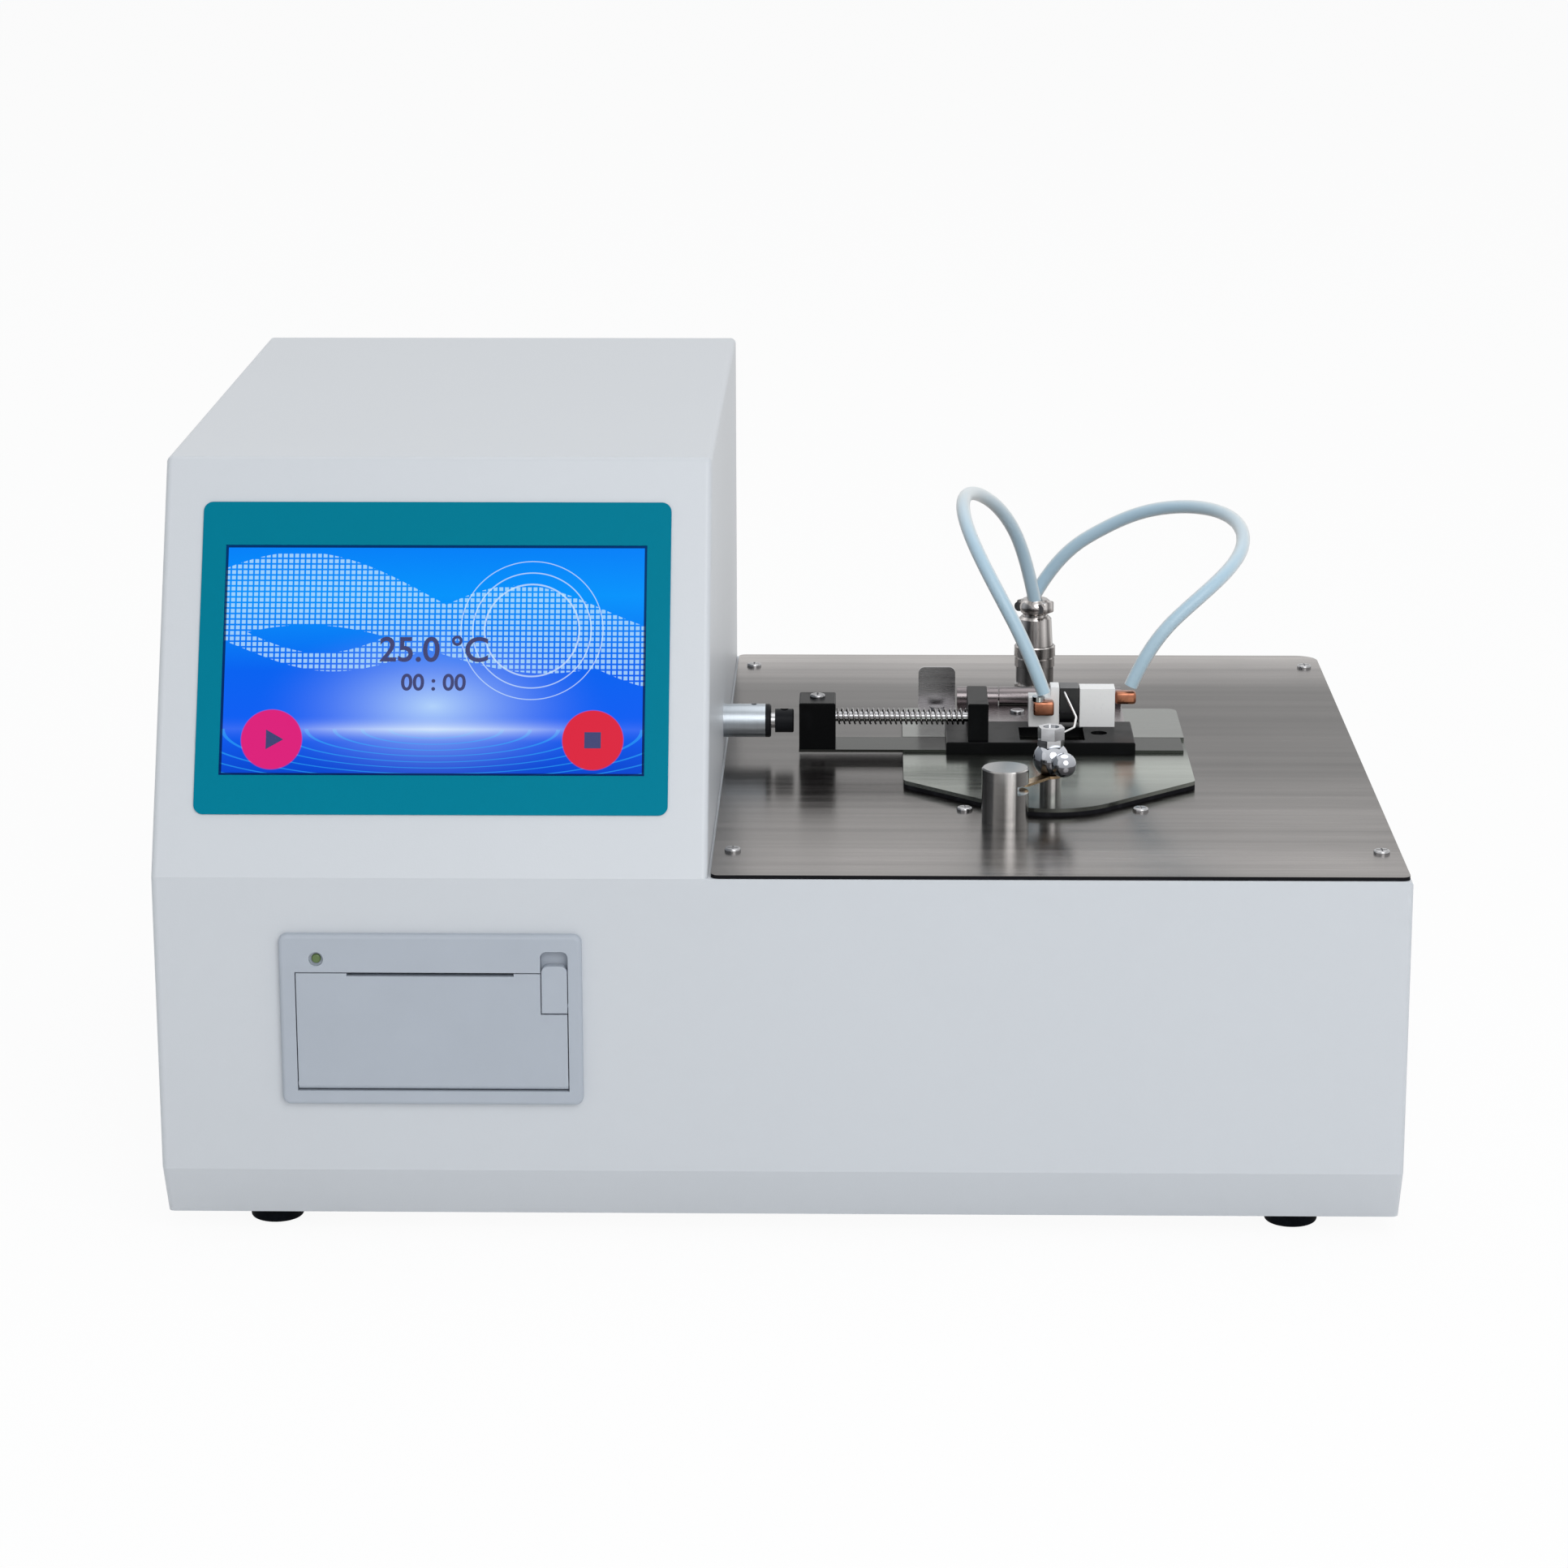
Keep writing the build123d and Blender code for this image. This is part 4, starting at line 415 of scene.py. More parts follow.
def turned(name, colour, centre, bands, top):
    """Turned metal: painted reflections of light and dark run up it, rings run round it.

    Above the height called top it is one even darker tone, a painted dark reflection on its top.
    """
    finish = Finish(name, Metallic=1.0)
    high = finish.xyz()[2]
    rings = finish.noise(1.0, finish.mapped((60, 60, 5200)), detail=3)
    fine = finish.mix(rings, tinted(colour, 0.9), tinted(colour, 1.1))
    # Painted reflections of light and dark run up the side.
    side = finish.mix(1.0, fine, finish.streaks(centre, bands), "MULTIPLY")
    # Painted dark reflection: above the height top the colour is one darker tone.
    finish.colour(finish.mix(high > top * MM, side, tinted(colour, 0.36)))
    finish.rough(0.14 + 0.08 * rings)
    return finish.material


def mirror(name, dark, light, low, high):
    """Chrome with a painted reflection: dark below one height, where it shows the deck, and
    light above another.
    """
    finish = Finish(name, Metallic=1.0)
    height = finish.xyz()[2]
    marks = finish.spread(finish.noise(160, detail=4), 0.42, 0.7)
    finish.colour(finish.mix(finish.spread(height, low * MM, high * MM), dark, light))
    finish.rough(0.05 + 0.08 * marks)
    return finish.material


def polished(name, colour, roughness=0.08):
    """Plated or polished metal with faint finger marks."""
    finish = Finish(name, Metallic=1.0)
    marks = finish.spread(finish.noise(160, detail=4), 0.42, 0.7)
    finish.colour(finish.mix(marks, colour, tinted(colour, 0.9)))
    finish.rough(roughness + 0.12 * marks)
    return finish.material


def anodised(name, colour):
    """Black anodised aluminium: dark, satin, with a bead-blasted tooth."""
    finish = Finish(name, Specular_IOR_Level=0.06)
    tooth = finish.noise(3200, detail=2)
    wear = finish.spread(finish.noise(90, detail=5), 0.55, 0.75)
    finish.colour(finish.mix(wear, colour, tinted(colour, 1.9)))
    finish.rough(0.30 + 0.10 * tooth + 0.08 * wear)
    finish.bump(tooth, 0.00001)
    return finish.material


def rubber(name, colour):
    """Matt black rubber with a little dust in its grain."""
    finish = Finish(name, Specular_IOR_Level=0.03)
    dust = finish.spread(finish.noise(220, detail=5), 0.5, 0.8)
    finish.colour(finish.mix(dust, colour, tinted(colour, 2.2)))
    finish.rough(0.62 + 0.2 * dust)
    finish.bump(finish.noise(1500), 0.00004)
    return finish.material


def ceramic(name, colour):
    """Fired white insulator with a few pale specks."""
    finish = Finish(name, Coat_Weight=0.1)
    specks = finish.spread(finish.noise(700, detail=3), 0.6, 0.75)
    clouds = finish.noise(60)
    body = finish.mix(clouds, tinted(colour, 0.95), colour)
    finish.colour(finish.mix(specks * 0.25, body, tinted(colour, 0.7)))
    finish.rough(0.38 + 0.1 * clouds)
    finish.bump(finish.noise(900), 0.00002)
    return finish.material


def copper(name, colour):
    """Bare metal that has darkened unevenly."""
    finish = Finish(name, Metallic=1.0)
    tarnish = finish.spread(finish.noise(260, detail=5), 0.35, 0.7)
    lines = finish.noise(1.0, finish.mapped((150, 2600, 2600)), detail=3)
    aged = finish.mix(tarnish, colour, tinted(colour, 0.5))
    finish.colour(finish.mix(lines * 0.4, aged, tinted(colour, 1.25)))
    finish.rough(0.26 + 0.22 * tarnish)
    finish.bump(lines, 0.00001)
    return finish.material


def paper(name, colour):
    """White thermal paper with short fibres."""
    finish = Finish(name)
    fibres = finish.noise(1.0, finish.mapped((300, 2400, 2400)), detail=4)
    finish.colour(finish.mix(fibres, tinted(colour, 0.93), colour))
    finish.rough(0.75 + 0.1 * fibres)
    finish.bump(fibres, 0.00002)
    return finish.material


def circuit_board(name):
    """Green solder mask with copper tracks under it."""
    finish = Finish(name, Coat_Weight=0.3)
    lane = (finish.xyz()[0] * 380).math("FRACT")
    bend = finish.noise(55, detail=1)
    tracks = abs((lane + bend * 2).math("FRACT") - 0.5) < 0.16
    finish.colour(finish.mix(tracks, (0.012, 0.13, 0.05), (0.03, 0.24, 0.09)))
    finish.rough(0.32 + 0.1 * finish.noise(900))
    finish.bump(tracks, 0.00003)
    return finish.material


def silicone(name):
    """Glossy milky tube: nearly white at its edges, the wire's blue in the middle."""
    finish = Finish(name, Specular_IOR_Level=0.4)
    edge = finish.node("ShaderNodeLayerWeight", values={"Blend": 0.30}).outputs["Facing"]
    rim = finish.spread(Value(finish, edge), 0.12, 0.55)
    clouds = finish.noise(30, detail=2)
    core = finish.mix(clouds, (0.42, 0.59, 0.71), (0.50, 0.66, 0.77))
    finish.colour(finish.mix(rim, core, (0.74, 0.79, 0.81)))
    finish.rough(0.30 + 0.04 * clouds)
    return finish.material


def dress(material, *names):
    """Gives CAD nodes one finish."""
    for name in names:
        mesh = NODES[name].data
        mesh.materials.clear()
        mesh.materials.append(material)


def add_piece(mesh, name, body, material=None):
    """Links a mesh as a piece that rides on a body."""
    piece = bpy.data.objects.new(name, mesh)
    bpy.context.scene.collection.objects.link(piece)
    if material:
        mesh.materials.append(material)
    if body:
        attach(piece, body)
    return piece


def finish_mesh(bm, name, smooth=True):
    """Turns a bmesh into a mesh with its faces outwards and in the same order each run."""
    bmesh.ops.recalc_face_normals(bm, faces=bm.faces)
    bm.verts.sort(key=lambda vertex: vertex.co.dot(SORT_WAY))
    bm.faces.sort(key=lambda face: face.calc_center_median().dot(SORT_WAY))
    mesh = bpy.data.meshes.new(name)
    bm.to_mesh(mesh)
    bm.free()
    if smooth:
        mesh.shade_smooth()
    return mesh


# ------------------------------------------------------------------ pieces


def on_slope(across, up, out=0.0):
    """A point given by its distances on the tower's slope."""
    return SLOPE_ORIGIN + Vector((across, 0, 0)) + SLOPE_UP * up + SLOPE_OUT * out


def slope_matrix(across, up, out):
    """Turns a flat drawing in XY to lie on the slope at that place."""
    turn = Matrix((Vector((1, 0, 0)), SLOPE_UP, SLOPE_OUT)).transposed().to_4x4()
    return Matrix.Translation(on_slope(across, up, out)) @ turn


def display_picture(button):
    """A lit picture: blue depth, a bright horizon, ribbons of dots, ripples and two keys."""
    finish = Finish(
        "display_picture", Roughness=0.16, Specular_IOR_Level=0.02, Emission_Strength=0.97,
    )
    horizon = 0.20
    light_up = 0.30
    dots_across = 74
    dial_across, dial_up = 0.73, 0.63
    across, deep, high = finish.xyz()
    s = (across - SLOPE_ORIGIN.x) / WINDOW_WIDTH + 0.5
    up = (deep - SLOPE_ORIGIN.y) * SLOPE_UP.y + (high - SLOPE_ORIGIN.z) * SLOPE_UP.z
    t = (up - WINDOW_UP) / WINDOW_HEIGHT + 0.5
    wide = WINDOW_WIDTH / WINDOW_HEIGHT
    sky = finish.ramp(
        t,
        [
            (0.00, (0.001, 0.060, 0.62)),
            (0.20, (0.004, 0.115, 0.92)),
            (0.45, (0.001, 0.125, 0.90)),
            (0.78, (0.000, 0.300, 1.00)),
            (1.00, (0.000, 0.220, 0.96)),
        ],
    )
    # light behind the horizon
    off_x = (s - 0.5) * wide
    off_y = t - light_up
    far = (off_x * off_x * 0.55 + off_y * off_y * 2.2).math("SQRT")
    glow = finish.spread(far, 0.0, 0.58, 1.0, 0.0).math("POWER", 2.4)
    picture = finish.mix(glow * 0.9, sky, (0.50, 0.72, 1.0))
    # two ribbons of square dots
    columns = (s * dots_across).math("FRACT")
    rows = (t * (dots_across / wide)).math("FRACT")
    square = (abs(columns - 0.5) < 0.34) * (abs(rows - 0.5) < 0.34)
    first = (s * 5.2 + 0.6).math("SINE") * 0.15 + 0.66
    second = (s * 7.4 + 2.9).math("SINE") * 0.11 + 0.60
    swell = (s * 4.1 + 1.0).math("SINE") * 0.05
    ribbons = (abs(t - first) < swell + 0.11).math("MAXIMUM", abs(t - second) < 0.085 - swell)
    dots = ribbons * square * (t > 0.34)
    picture = finish.mix(dots * 0.62, picture, (0.55, 0.88, 1.0))
    # three thin rings, like a dial behind the reading
    ring_x = (s - dial_across) * wide
    ring_y = t - dial_up
    ring = (ring_x * ring_x + ring_y * ring_y).math("SQRT")
    rings = abs(ring - 0.20) < 0.0035
    for radius, half_width in ((0.25, 0.0025), (0.30, 0.0020)):
        rings = rings.math("MAXIMUM", abs(ring - radius) < half_width)
    picture = finish.mix(rings * 0.6, picture, (0.70, 0.88, 1.0))
    # the horizon and the ripples below it
    below = t < horizon
    ripple_y = (t - horizon) * 4.6
    ripple = (off_x * off_x + ripple_y * ripple_y).math("SQRT")
    lines = (abs((ripple * 8.5).math("FRACT") - 0.5) < 0.07) * below
    picture = finish.mix(lines * 0.45, picture, (0.03, 0.45, 1.0))
    haze = finish.spread(abs(t - horizon), 0.0, 0.060, 1.0, 0.0).math("POWER", 2.0)
    reach = finish.spread(abs(off_x), 0.0, 0.70, 0.9, 0.05)
    picture = finish.mix(haze * reach, picture, (0.70, 0.84, 1.0))
    # two round keys in a thin dark border
    key_x = (abs(s - 0.5) - 0.378) * wide
    key_y = t - 0.155
    key = (key_x * key_x + key_y * key_y).math("SQRT")
    warm = finish.mix(s > 0.5, button, (0.74, 0.022, 0.050))
    picture = finish.mix(finish.spread(key, 0.126, 0.131, 1.0, 0.0), picture, warm)
    border = (abs(s - 0.5) > 0.494).math("MAXIMUM", abs(t - 0.5) > 0.489)
    picture = finish.mix(border * 0.9, picture, (0.0, 0.012, 0.06))
    inside = (abs(s - 0.5) < 0.5) * (abs(t - 0.5) < 0.5)
    finish.feed(finish.shader.inputs["Emission Color"], finish.mix(inside, (0, 0, 0), picture))
    finish.colour((0.001, 0.002, 0.006))
    return finish.material


def overlay_film(colour):
    """Printed film: even ink under a faint satin sheen, a little lighter towards its foot."""
    finish = Finish("overlay_film", Specular_IOR_Level=0.02)
    fade = finish.spread(finish.xyz()[2], 0.14, 0.26)
    grain = finish.noise(1800, detail=1)
    base = finish.mix(fade, tinted(colour, 1.06), tinted(colour, 0.94))
    finish.colour(finish.mix(grain, tinted(colour, 0.97), base))
    finish.rough(0.34 + 0.08 * grain)
    finish.bump(grain, 0.00001)
    return finish.material


def curve_mesh(holder):
    """The mesh that a curve or text object gives as it stands."""
    bpy.context.view_layer.update()
    drawn = holder.evaluated_get(bpy.context.evaluated_depsgraph_get())
    return bpy.data.meshes.new_from_object(drawn)


def add_reading(text, name, across, up, height, material):
    """Figures of a reading, cut from flat sheet and laid on the display."""
    words = bpy.data.curves.new(name, "FONT")
    words.body = text
    words.align_x = "CENTER"
    words.align_y = "CENTER"
    words.size = height * FONT_SHARE
    words.extrude = READING_HALF
    words.offset = READING_SPREAD
    holder = bpy.data.objects.new(name + "_drawing", words)
    bpy.context.scene.collection.objects.link(holder)
    mesh = curve_mesh(holder)
    bpy.data.objects.remove(holder)
    mesh.transform(slope_matrix(across, up, READING_LIFT))
    mesh.name = name
    mesh.materials.clear()
    return add_piece(mesh, name, "base", material)


def add_symbol(name, corners, across, up, radius, material):
    """A start or stop mark on a key: a thin prism with that many corners."""
    bm = bmesh.new()
    bmesh.ops.create_cone(
        bm, cap_ends=True, segments=corners, radius1=radius, radius2=radius, depth=MARK_DEPTH,
    )
    bmesh.ops.rotate(bm, verts=bm.verts, matrix=Matrix.Rotation(-pi / 2, 3, "Z"))
    if corners == 4:
        bmesh.ops.rotate(bm, verts=bm.verts, matrix=Matrix.Rotation(pi / 4, 3, "Z"))
    bmesh.ops.transform(bm, matrix=slope_matrix(across, up, MARK_LIFT), verts=bm.verts)
    return add_piece(finish_mesh(bm, name, smooth=False), name, "base", material)


# The connector's place, its nut, its cable clamp and its outlines, in millimetres. Each pair
# of an outline is a radius and a height above the deck.
CONNECTOR = (100.6, 117.0)
CONNECTOR_HEIGHT = 37.2
NUT_MIDDLE = 5.5
NUT_RADIUS = 8.9
NUT_HEIGHT = 6.2
CLAMP_MIDDLE = 34.15
CLAMP_TURN = -35.0
CLAMP_BAR = (14.4, 7.2, 4.9)
CLAMP_SCREWS = [(-5.3, -4.1, 0), (5.3, -4.1, 0)]
SOCKET_PROFILE = [
    (0, 0), (8.3, 0), (8.3, 1.0), (7.0, 1.0), (7.0, 8.6), (6.5, 8.6), (6.5, 17.6), (0, 17.6),
]
RING_PROFILE = [
    (6.6, 8.8), (8.35, 8.8), (8.35, 12.3), (7.65, 12.3), (7.65, 13.2), (8.6, 13.2),
    (8.6, 17.2), (8.1, 17.7), (6.6, 17.7), (6.6, 8.8),
]
PLUG_PROFILE = [
    (0, 17.8), (7.5, 17.8), (6.85, 29.0), (5.85, 30.0), (5.2, 30.0), (5.2, 31.0), (6.2, 31.9),
    (6.8, 33.2), (6.9, 34.15), (6.8, 35.1), (6.2, 36.4), (5.2, 37.3), (0, 37.3),
]
# Painted reflection tones round a turned piece: 0 is its left, 0.25 its front, 0.5 its right and
# 0.75 its back.
PILLAR_REFLECTIONS = [
    (0.0, 0.30), (0.09, 0.20), (0.167, 0.42), (0.234, 0.30), (0.282, 0.62), (0.2986, 1.0),
    (0.312, 1.0), (0.325, 0.20), (0.36, 0.40), (0.42, 0.62), (0.5, 0.26), (0.62, 0.60),
    (0.8, 0.25), (1.0, 0.30),
]
NICKEL_REFLECTIONS = [
    (0.0, 0.14), (0.06, 0.42), (0.12, 1.0), (0.17, 0.28), (0.22, 0.50), (0.26, 0.90),
    (0.29, 0.30), (0.34, 0.80), (0.38, 0.18), (0.43, 0.66), (0.47, 0.26), (0.5, 0.14),
    (0.7, 0.70), (0.85, 0.30), (1.0, 0.14),
]
# Control points of the leads in millimetres, counted across from the cup's axis.
CUP_X = 100.3
LEFT_ROUTE = [
    (CUP_X + 0.13, 114.55, 175.71),
    (CUP_X - 4.3, 110.7, 197.3),
    (CUP_X - 10.9, 103.0, 213.5),
    (CUP_X - 20.2, 90.6, 224.8),
    (CUP_X - 28.3, 74.4, 231.0),
    (CUP_X - 32.5, 55.7, 230.6),
    (CUP_X - 30.6, 38.2, 223.1),
    (CUP_X - 24.1, 25.0, 210.8),
    (CUP_X - 15.3, 17.3, 195.5),
    (CUP_X - 6.3, 13.4, 179.0),
    (CUP_X + 0.2, 11.4, 161.3),
]
RIGHT_ROUTE = [
    (CUP_X - 0.88, 120.29, 175.98),
    (CUP_X + 9.2, 118.3, 195.2),
    (CUP_X + 25.7, 114.1, 206.7),
    (CUP_X + 42.4, 107.8, 216.1),
    (CUP_X + 59, 97.3, 220.7),
    (CUP_X + 73, 82.7, 221.9),
    (CUP_X + 81.4, 64.5, 219.5),
    (CUP_X + 81.3, 45.3, 213.1),
    (CUP_X + 71.7, 29.9, 205.0),
    (CUP_X + 57.1, 21.3, 194.6),
    (CUP_X + 42.3, 18.5, 180.8),
    (CUP_X + 34.83, 18.5, 162.95),
]


def add_lead(name, route, diameter, material):
    """One igniter lead: a tube along a smooth line through the route's control points."""
    curve = bpy.data.curves.new(name, "CURVE")
    curve.dimensions = "3D"
    curve.resolution_u = 12
    spline = curve.splines.new("NURBS")
    spline.points.add(len(route) - 1)
    for point, place in zip(spline.points, route):
        point.co = (*(MM * value for value in place), 1)
    spline.order_u = 4
    spline.use_endpoint_u = True
    holder = bpy.data.objects.new(name + "_line", curve)
    bpy.context.scene.collection.objects.link(holder)
    line = [vertex.co.copy() for vertex in curve_mesh(holder).vertices]
    curve.bevel_depth = diameter / 2
    curve.bevel_resolution = 6
    curve.use_fill_caps = True
    mesh = curve_mesh(holder)
    bpy.data.objects.remove(holder)
    mesh.name = name + "_tube"
    mesh.materials.clear()
    lead = add_piece(mesh, name + "_tube", None, material)
    mesh.shade_smooth()
    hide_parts(name)
    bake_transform(lead)


def join_rings(bm, first, second):
    """Lays faces between two rings of corners; a ring may be one corner, repeated."""
    for k in range(len(first)):
        corners = (first[k - 1], first[k], second[k], second[k - 1])
        bm.faces.new(dict.fromkeys(corners))


def add_spring(name, wire, turns, material):
    """The return spring: a wire circle carried round and along the rod."""
    low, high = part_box("return_spring")
    rod_low, rod_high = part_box("guide_rod")
    axis_z = (rod_low.z + rod_high.z) / 2
    outer = (high.z - low.z) / 2
    steps = 22
    sides = 9
    length = high.x - low.x - wire
    start = Vector((low.x + wire / 2, 0, outer - wire / 2))
    edge = Vector((-wire / 2, 0, 0))
    circle = [start + Matrix.Rotation(2 * pi * k / sides, 3, "Y") @ edge for k in range(sides)]
    bm = bmesh.new()
    rings = []
    for step in range(turns * steps + 1):
        turn = Matrix.Rotation(2 * pi * step / steps, 3, "X")
        middle = Vector((length * step / (turns * steps), 0, axis_z))
        rings.append([bm.verts.new(middle + turn @ corner) for corner in circle])
    for first, second in zip(rings, rings[1:]):
        join_rings(bm, first, second)
    bm.faces.new(rings[0])
    bm.faces.new(rings[-1])
    spring = add_piece(finish_mesh(bm, name), name, "shutter", material)
    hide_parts("return_spring")
    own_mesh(spring)


def add_turned(name, node, body, centre, profile, material, parts=()):
    """A piece turned round an upright axis from (radius, height) pairs, with added parts."""
    bm = bmesh.new()
    turns = [Matrix.Rotation(2 * pi * k / TURNED_STEPS, 3, "Z") for k in range(TURNED_STEPS)]
    rings = {}
    for radius, height in dict.fromkeys(profile):
        middle = MM * Vector((*centre, DECK_TOP + height))
        arm = MM * Vector((radius, 0, 0))
        if radius:
            rings[radius, height] = [bm.verts.new(middle + turn @ arm) for turn in turns]
        else:
            rings[radius, height] = [bm.verts.new(middle)] * TURNED_STEPS
    for first, second in zip(profile, profile[1:]):
        join_rings(bm, rings[first], rings[second])
    for part in parts:
        part(bm)
    mesh = finish_mesh(bm, name)
    mesh.set_sharp_from_angle(angle=SHARP)
    piece = add_piece(mesh, name, body, material)
    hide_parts(node)


def block(centre, size, turn=0.0, edge=0.5):
    """Adds a box with rounded edges, turned about its upright axis."""

    def build(bm):
        made = bmesh.ops.create_cube(bm, size=1.0)["verts"]
        bmesh.ops.scale(bm, verts=made, vec=Vector(size) * MM)
        edges = list(dict.fromkeys(e for vertex in made for e in vertex.link_edges))
        rounded = bmesh.ops.bevel(
            bm, geom=edges, offset=edge * MM, segments=3, profile=0.5,
            affect="EDGES", material=-1,
        )
        verts = list(dict.fromkeys(v for face in rounded["faces"] for v in face.verts))
        place = Matrix.Translation(Vector(centre) * MM) @ Matrix.Rotation(radians(turn), 4, "Z")
        bmesh.ops.transform(bm, matrix=place, verts=verts)

    return build


def stud(centre, radius, length, along, sides=32):
    """Adds a short round bar with its middle at a place and its axis along a vector."""

    def build(bm):
        made = bmesh.ops.create_cone(
            bm, cap_ends=True, segments=sides, radius1=radius * MM, radius2=radius * MM,
            depth=length * MM,
        )["verts"]
        turn = Vector(along).to_track_quat("Z", "Y").to_matrix().to_4x4()
        place = Matrix.Translation(Vector(centre) * MM) @ turn
        bmesh.ops.transform(bm, matrix=place, verts=made)

    return build


def add_built(name, body, material, parts):
    """A piece made only of added parts."""
    bm = bmesh.new()
    for part in parts:
        part(bm)
    mesh = finish_mesh(bm, name)
    mesh.set_sharp_from_angle(angle=SHARP)
    return add_piece(mesh, name, body, material)


# --------------------------------------------------------------- operators


class TesterOperator:
    """What the operators of the tester share."""

    bl_options = {"REGISTER", "UNDO"}

    @property
    def colours(self):
        return bpy.context.scene.tester_colours

    @property
    def sizes(self):
        return bpy.context.scene.tester_sizes


class TESTER_OT_stage(TesterOperator, bpy.types.Operator):
    """Sets up the floor, the soft studio light and the camera"""

    bl_idname = "tester.stage"
    bl_label = "Stage"

    def execute(self, context):
        stage = context.scene.tester_stage
        context.scene.view_settings.view_transform = "Standard"
        self.light_world(context.scene, stage.daylight)
        self.lay_floor()
        for name, place, size, power in LAMPS:
            self.add_lamp(context, name, place, size, power)
        self.add_camera(context, stage.lens)
        return {"FINISHED"}

    def light_world(self, scene, strength):
        """Lights evenly all round, and shows white to the camera and in reflections."""
        world = bpy.data.worlds.new("studio")
        world.use_nodes = True
        scene.world = world
        tree = world.node_tree
        tree.nodes.clear()
        path = tree.nodes.new("ShaderNodeLightPath")
        seen = path.outputs["Is Camera Ray"]
        for ray in ("Is Glossy Ray", "Is Transmission Ray"):
            either = tree.nodes.new("ShaderNodeMath")
            either.operation = "MAXIMUM"
            tree.links.new(seen, either.inputs[0])
            tree.links.new(path.outputs[ray], either.inputs[1])
            seen = either.outputs[0]
        white = tree.nodes.new("ShaderNodeBackground")
        even = tree.nodes.new("ShaderNodeBackground")
        even.inputs["Color"].default_value = (*SKY_TINT, 1)
        even.inputs["Strength"].default_value = strength
        white.inputs["Color"].default_value = (1, 1, 1, 1)
        mix = tree.nodes.new("ShaderNodeMixShader")
        output = tree.nodes.new("ShaderNodeOutputWorld")
        tree.links.new(seen, mix.inputs[0])
        tree.links.new(even.outputs[0], mix.inputs[1])
        tree.links.new(white.outputs[0], mix.inputs[2])
        tree.links.new(mix.outputs[0], output.inputs[0])

    def lay_floor(self):
        """Lays a paper floor that glows to the camera and in reflections."""
        bm = bmesh.new()
        bmesh.ops.create_grid(bm, x_segments=1, y_segments=1, size=FLOOR_HALF)
        floor = add_piece(finish_mesh(bm, "floor", smooth=False), "floor", None)
        finish = Finish("floor_paper", Roughness=0.9)
        tone = finish.noise(3)
        finish.colour(finish.mix(tone, (0.90, 0.90, 0.90), (0.92, 0.92, 0.92)))
        glow = finish.node("ShaderNodeEmission", values={"Color": (1, 1, 1), "Strength": 1.0})
        path = finish.node("ShaderNodeLightPath")
        seen = Value(finish, path.outputs["Is Camera Ray"])
        for ray in ("Is Glossy Ray", "Is Transmission Ray"):
            seen = seen.math("MAXIMUM", Value(finish, path.outputs[ray]))
        mixed = finish.node("ShaderNodeMixShader", values={0: seen * FLOOR_GLOW})
        finish.tree.links.new(finish.shader.outputs[0], mixed.inputs[1])
        finish.tree.links.new(glow.outputs[0], mixed.inputs[2])
        output = finish.tree.nodes["Material Output"]
        finish.tree.links.new(mixed.outputs[0], output.inputs[0])
        floor.data.materials.append(finish.material)

    def add_lamp(self, context, name, place, size, power):
        lamp = bpy.data.lights.new(name, "AREA")
        lamp.shape = "DISK"
        lamp.size = size
        lamp.energy = power
        holder = bpy.data.objects.new(name, lamp)
        holder.location = place
        aim = LAMP_AIM - Vector(place)
        holder.rotation_euler = aim.to_track_quat("-Z", "Y").to_euler()
        context.scene.collection.objects.link(holder)

    def add_camera(self, context, lens):
        camera = bpy.data.cameras.new("camera")
        camera.sensor_width = FRAME_WIDTH
        camera.lens = lens
        camera.clip_end = 20
        holder = bpy.data.objects.new("camera", camera)
        tilt = Matrix.Rotation(pi / 2 - CAMERA_PITCH, 4, "X")
        roll = Matrix.Rotation(CAMERA_ROLL, 4, "Z")
        turn = Matrix.Rotation(CAMERA_YAW, 4, "Z") @ tilt @ roll
        holder.matrix_world = Matrix.Translation(CAMERA_PLACE) @ turn
        context.scene.collection.objects.link(holder)
        context.scene.camera = holder


class TESTER_OT_housing(TesterOperator, bpy.types.Operator):
    """Paints the housing and finishes the base plate, feet and back"""

    bl_idname = "tester.housing"
    bl_label = "Housing"

    def execute(self, context):
        dress(painted("housing_paint", self.colours.housing), "housing")
        dress(brushed("zinc_sheet", (0.55, 0.56, 0.57), (40, 900, 900)), "base_plate")
        dress(rubber("foot_rubber", (0.004, 0.005, 0.007)), "feet")
        dress(moulded("inlet_plastic", (0.018, 0.018, 0.020)), "power_inlet", "rocker")
        return {"FINISHED"}


class TESTER_OT_display(TesterOperator, bpy.types.Operator):
    """Lights the display and lays its reading, key marks and overlay"""

    bl_idname = "tester.display"
    bl_label = "Display"

    def execute(self, context):
        dress(display_picture(self.colours.button), "screen_module")
        dress(overlay_film(self.colours.overlay), "front_overlay")
        ink = moulded("reading_ink", (0.006, 0.012, 0.110), roughness=0.5)
        height = self.sizes.digits
        add_reading("25.0 °C", "reading", 0.0, READING_UP, height, ink)
        add_reading("00 : 00", "clock", 0.0, CLOCK_UP, height * CLOCK_SHARE, ink)
        add_symbol("start_mark", 3, -KEY_OUT, KEY_UP, KEY_MARK, ink)
        add_symbol("stop_mark", 4, KEY_OUT, KEY_UP, KEY_MARK, ink)
        return {"FINISHED"}


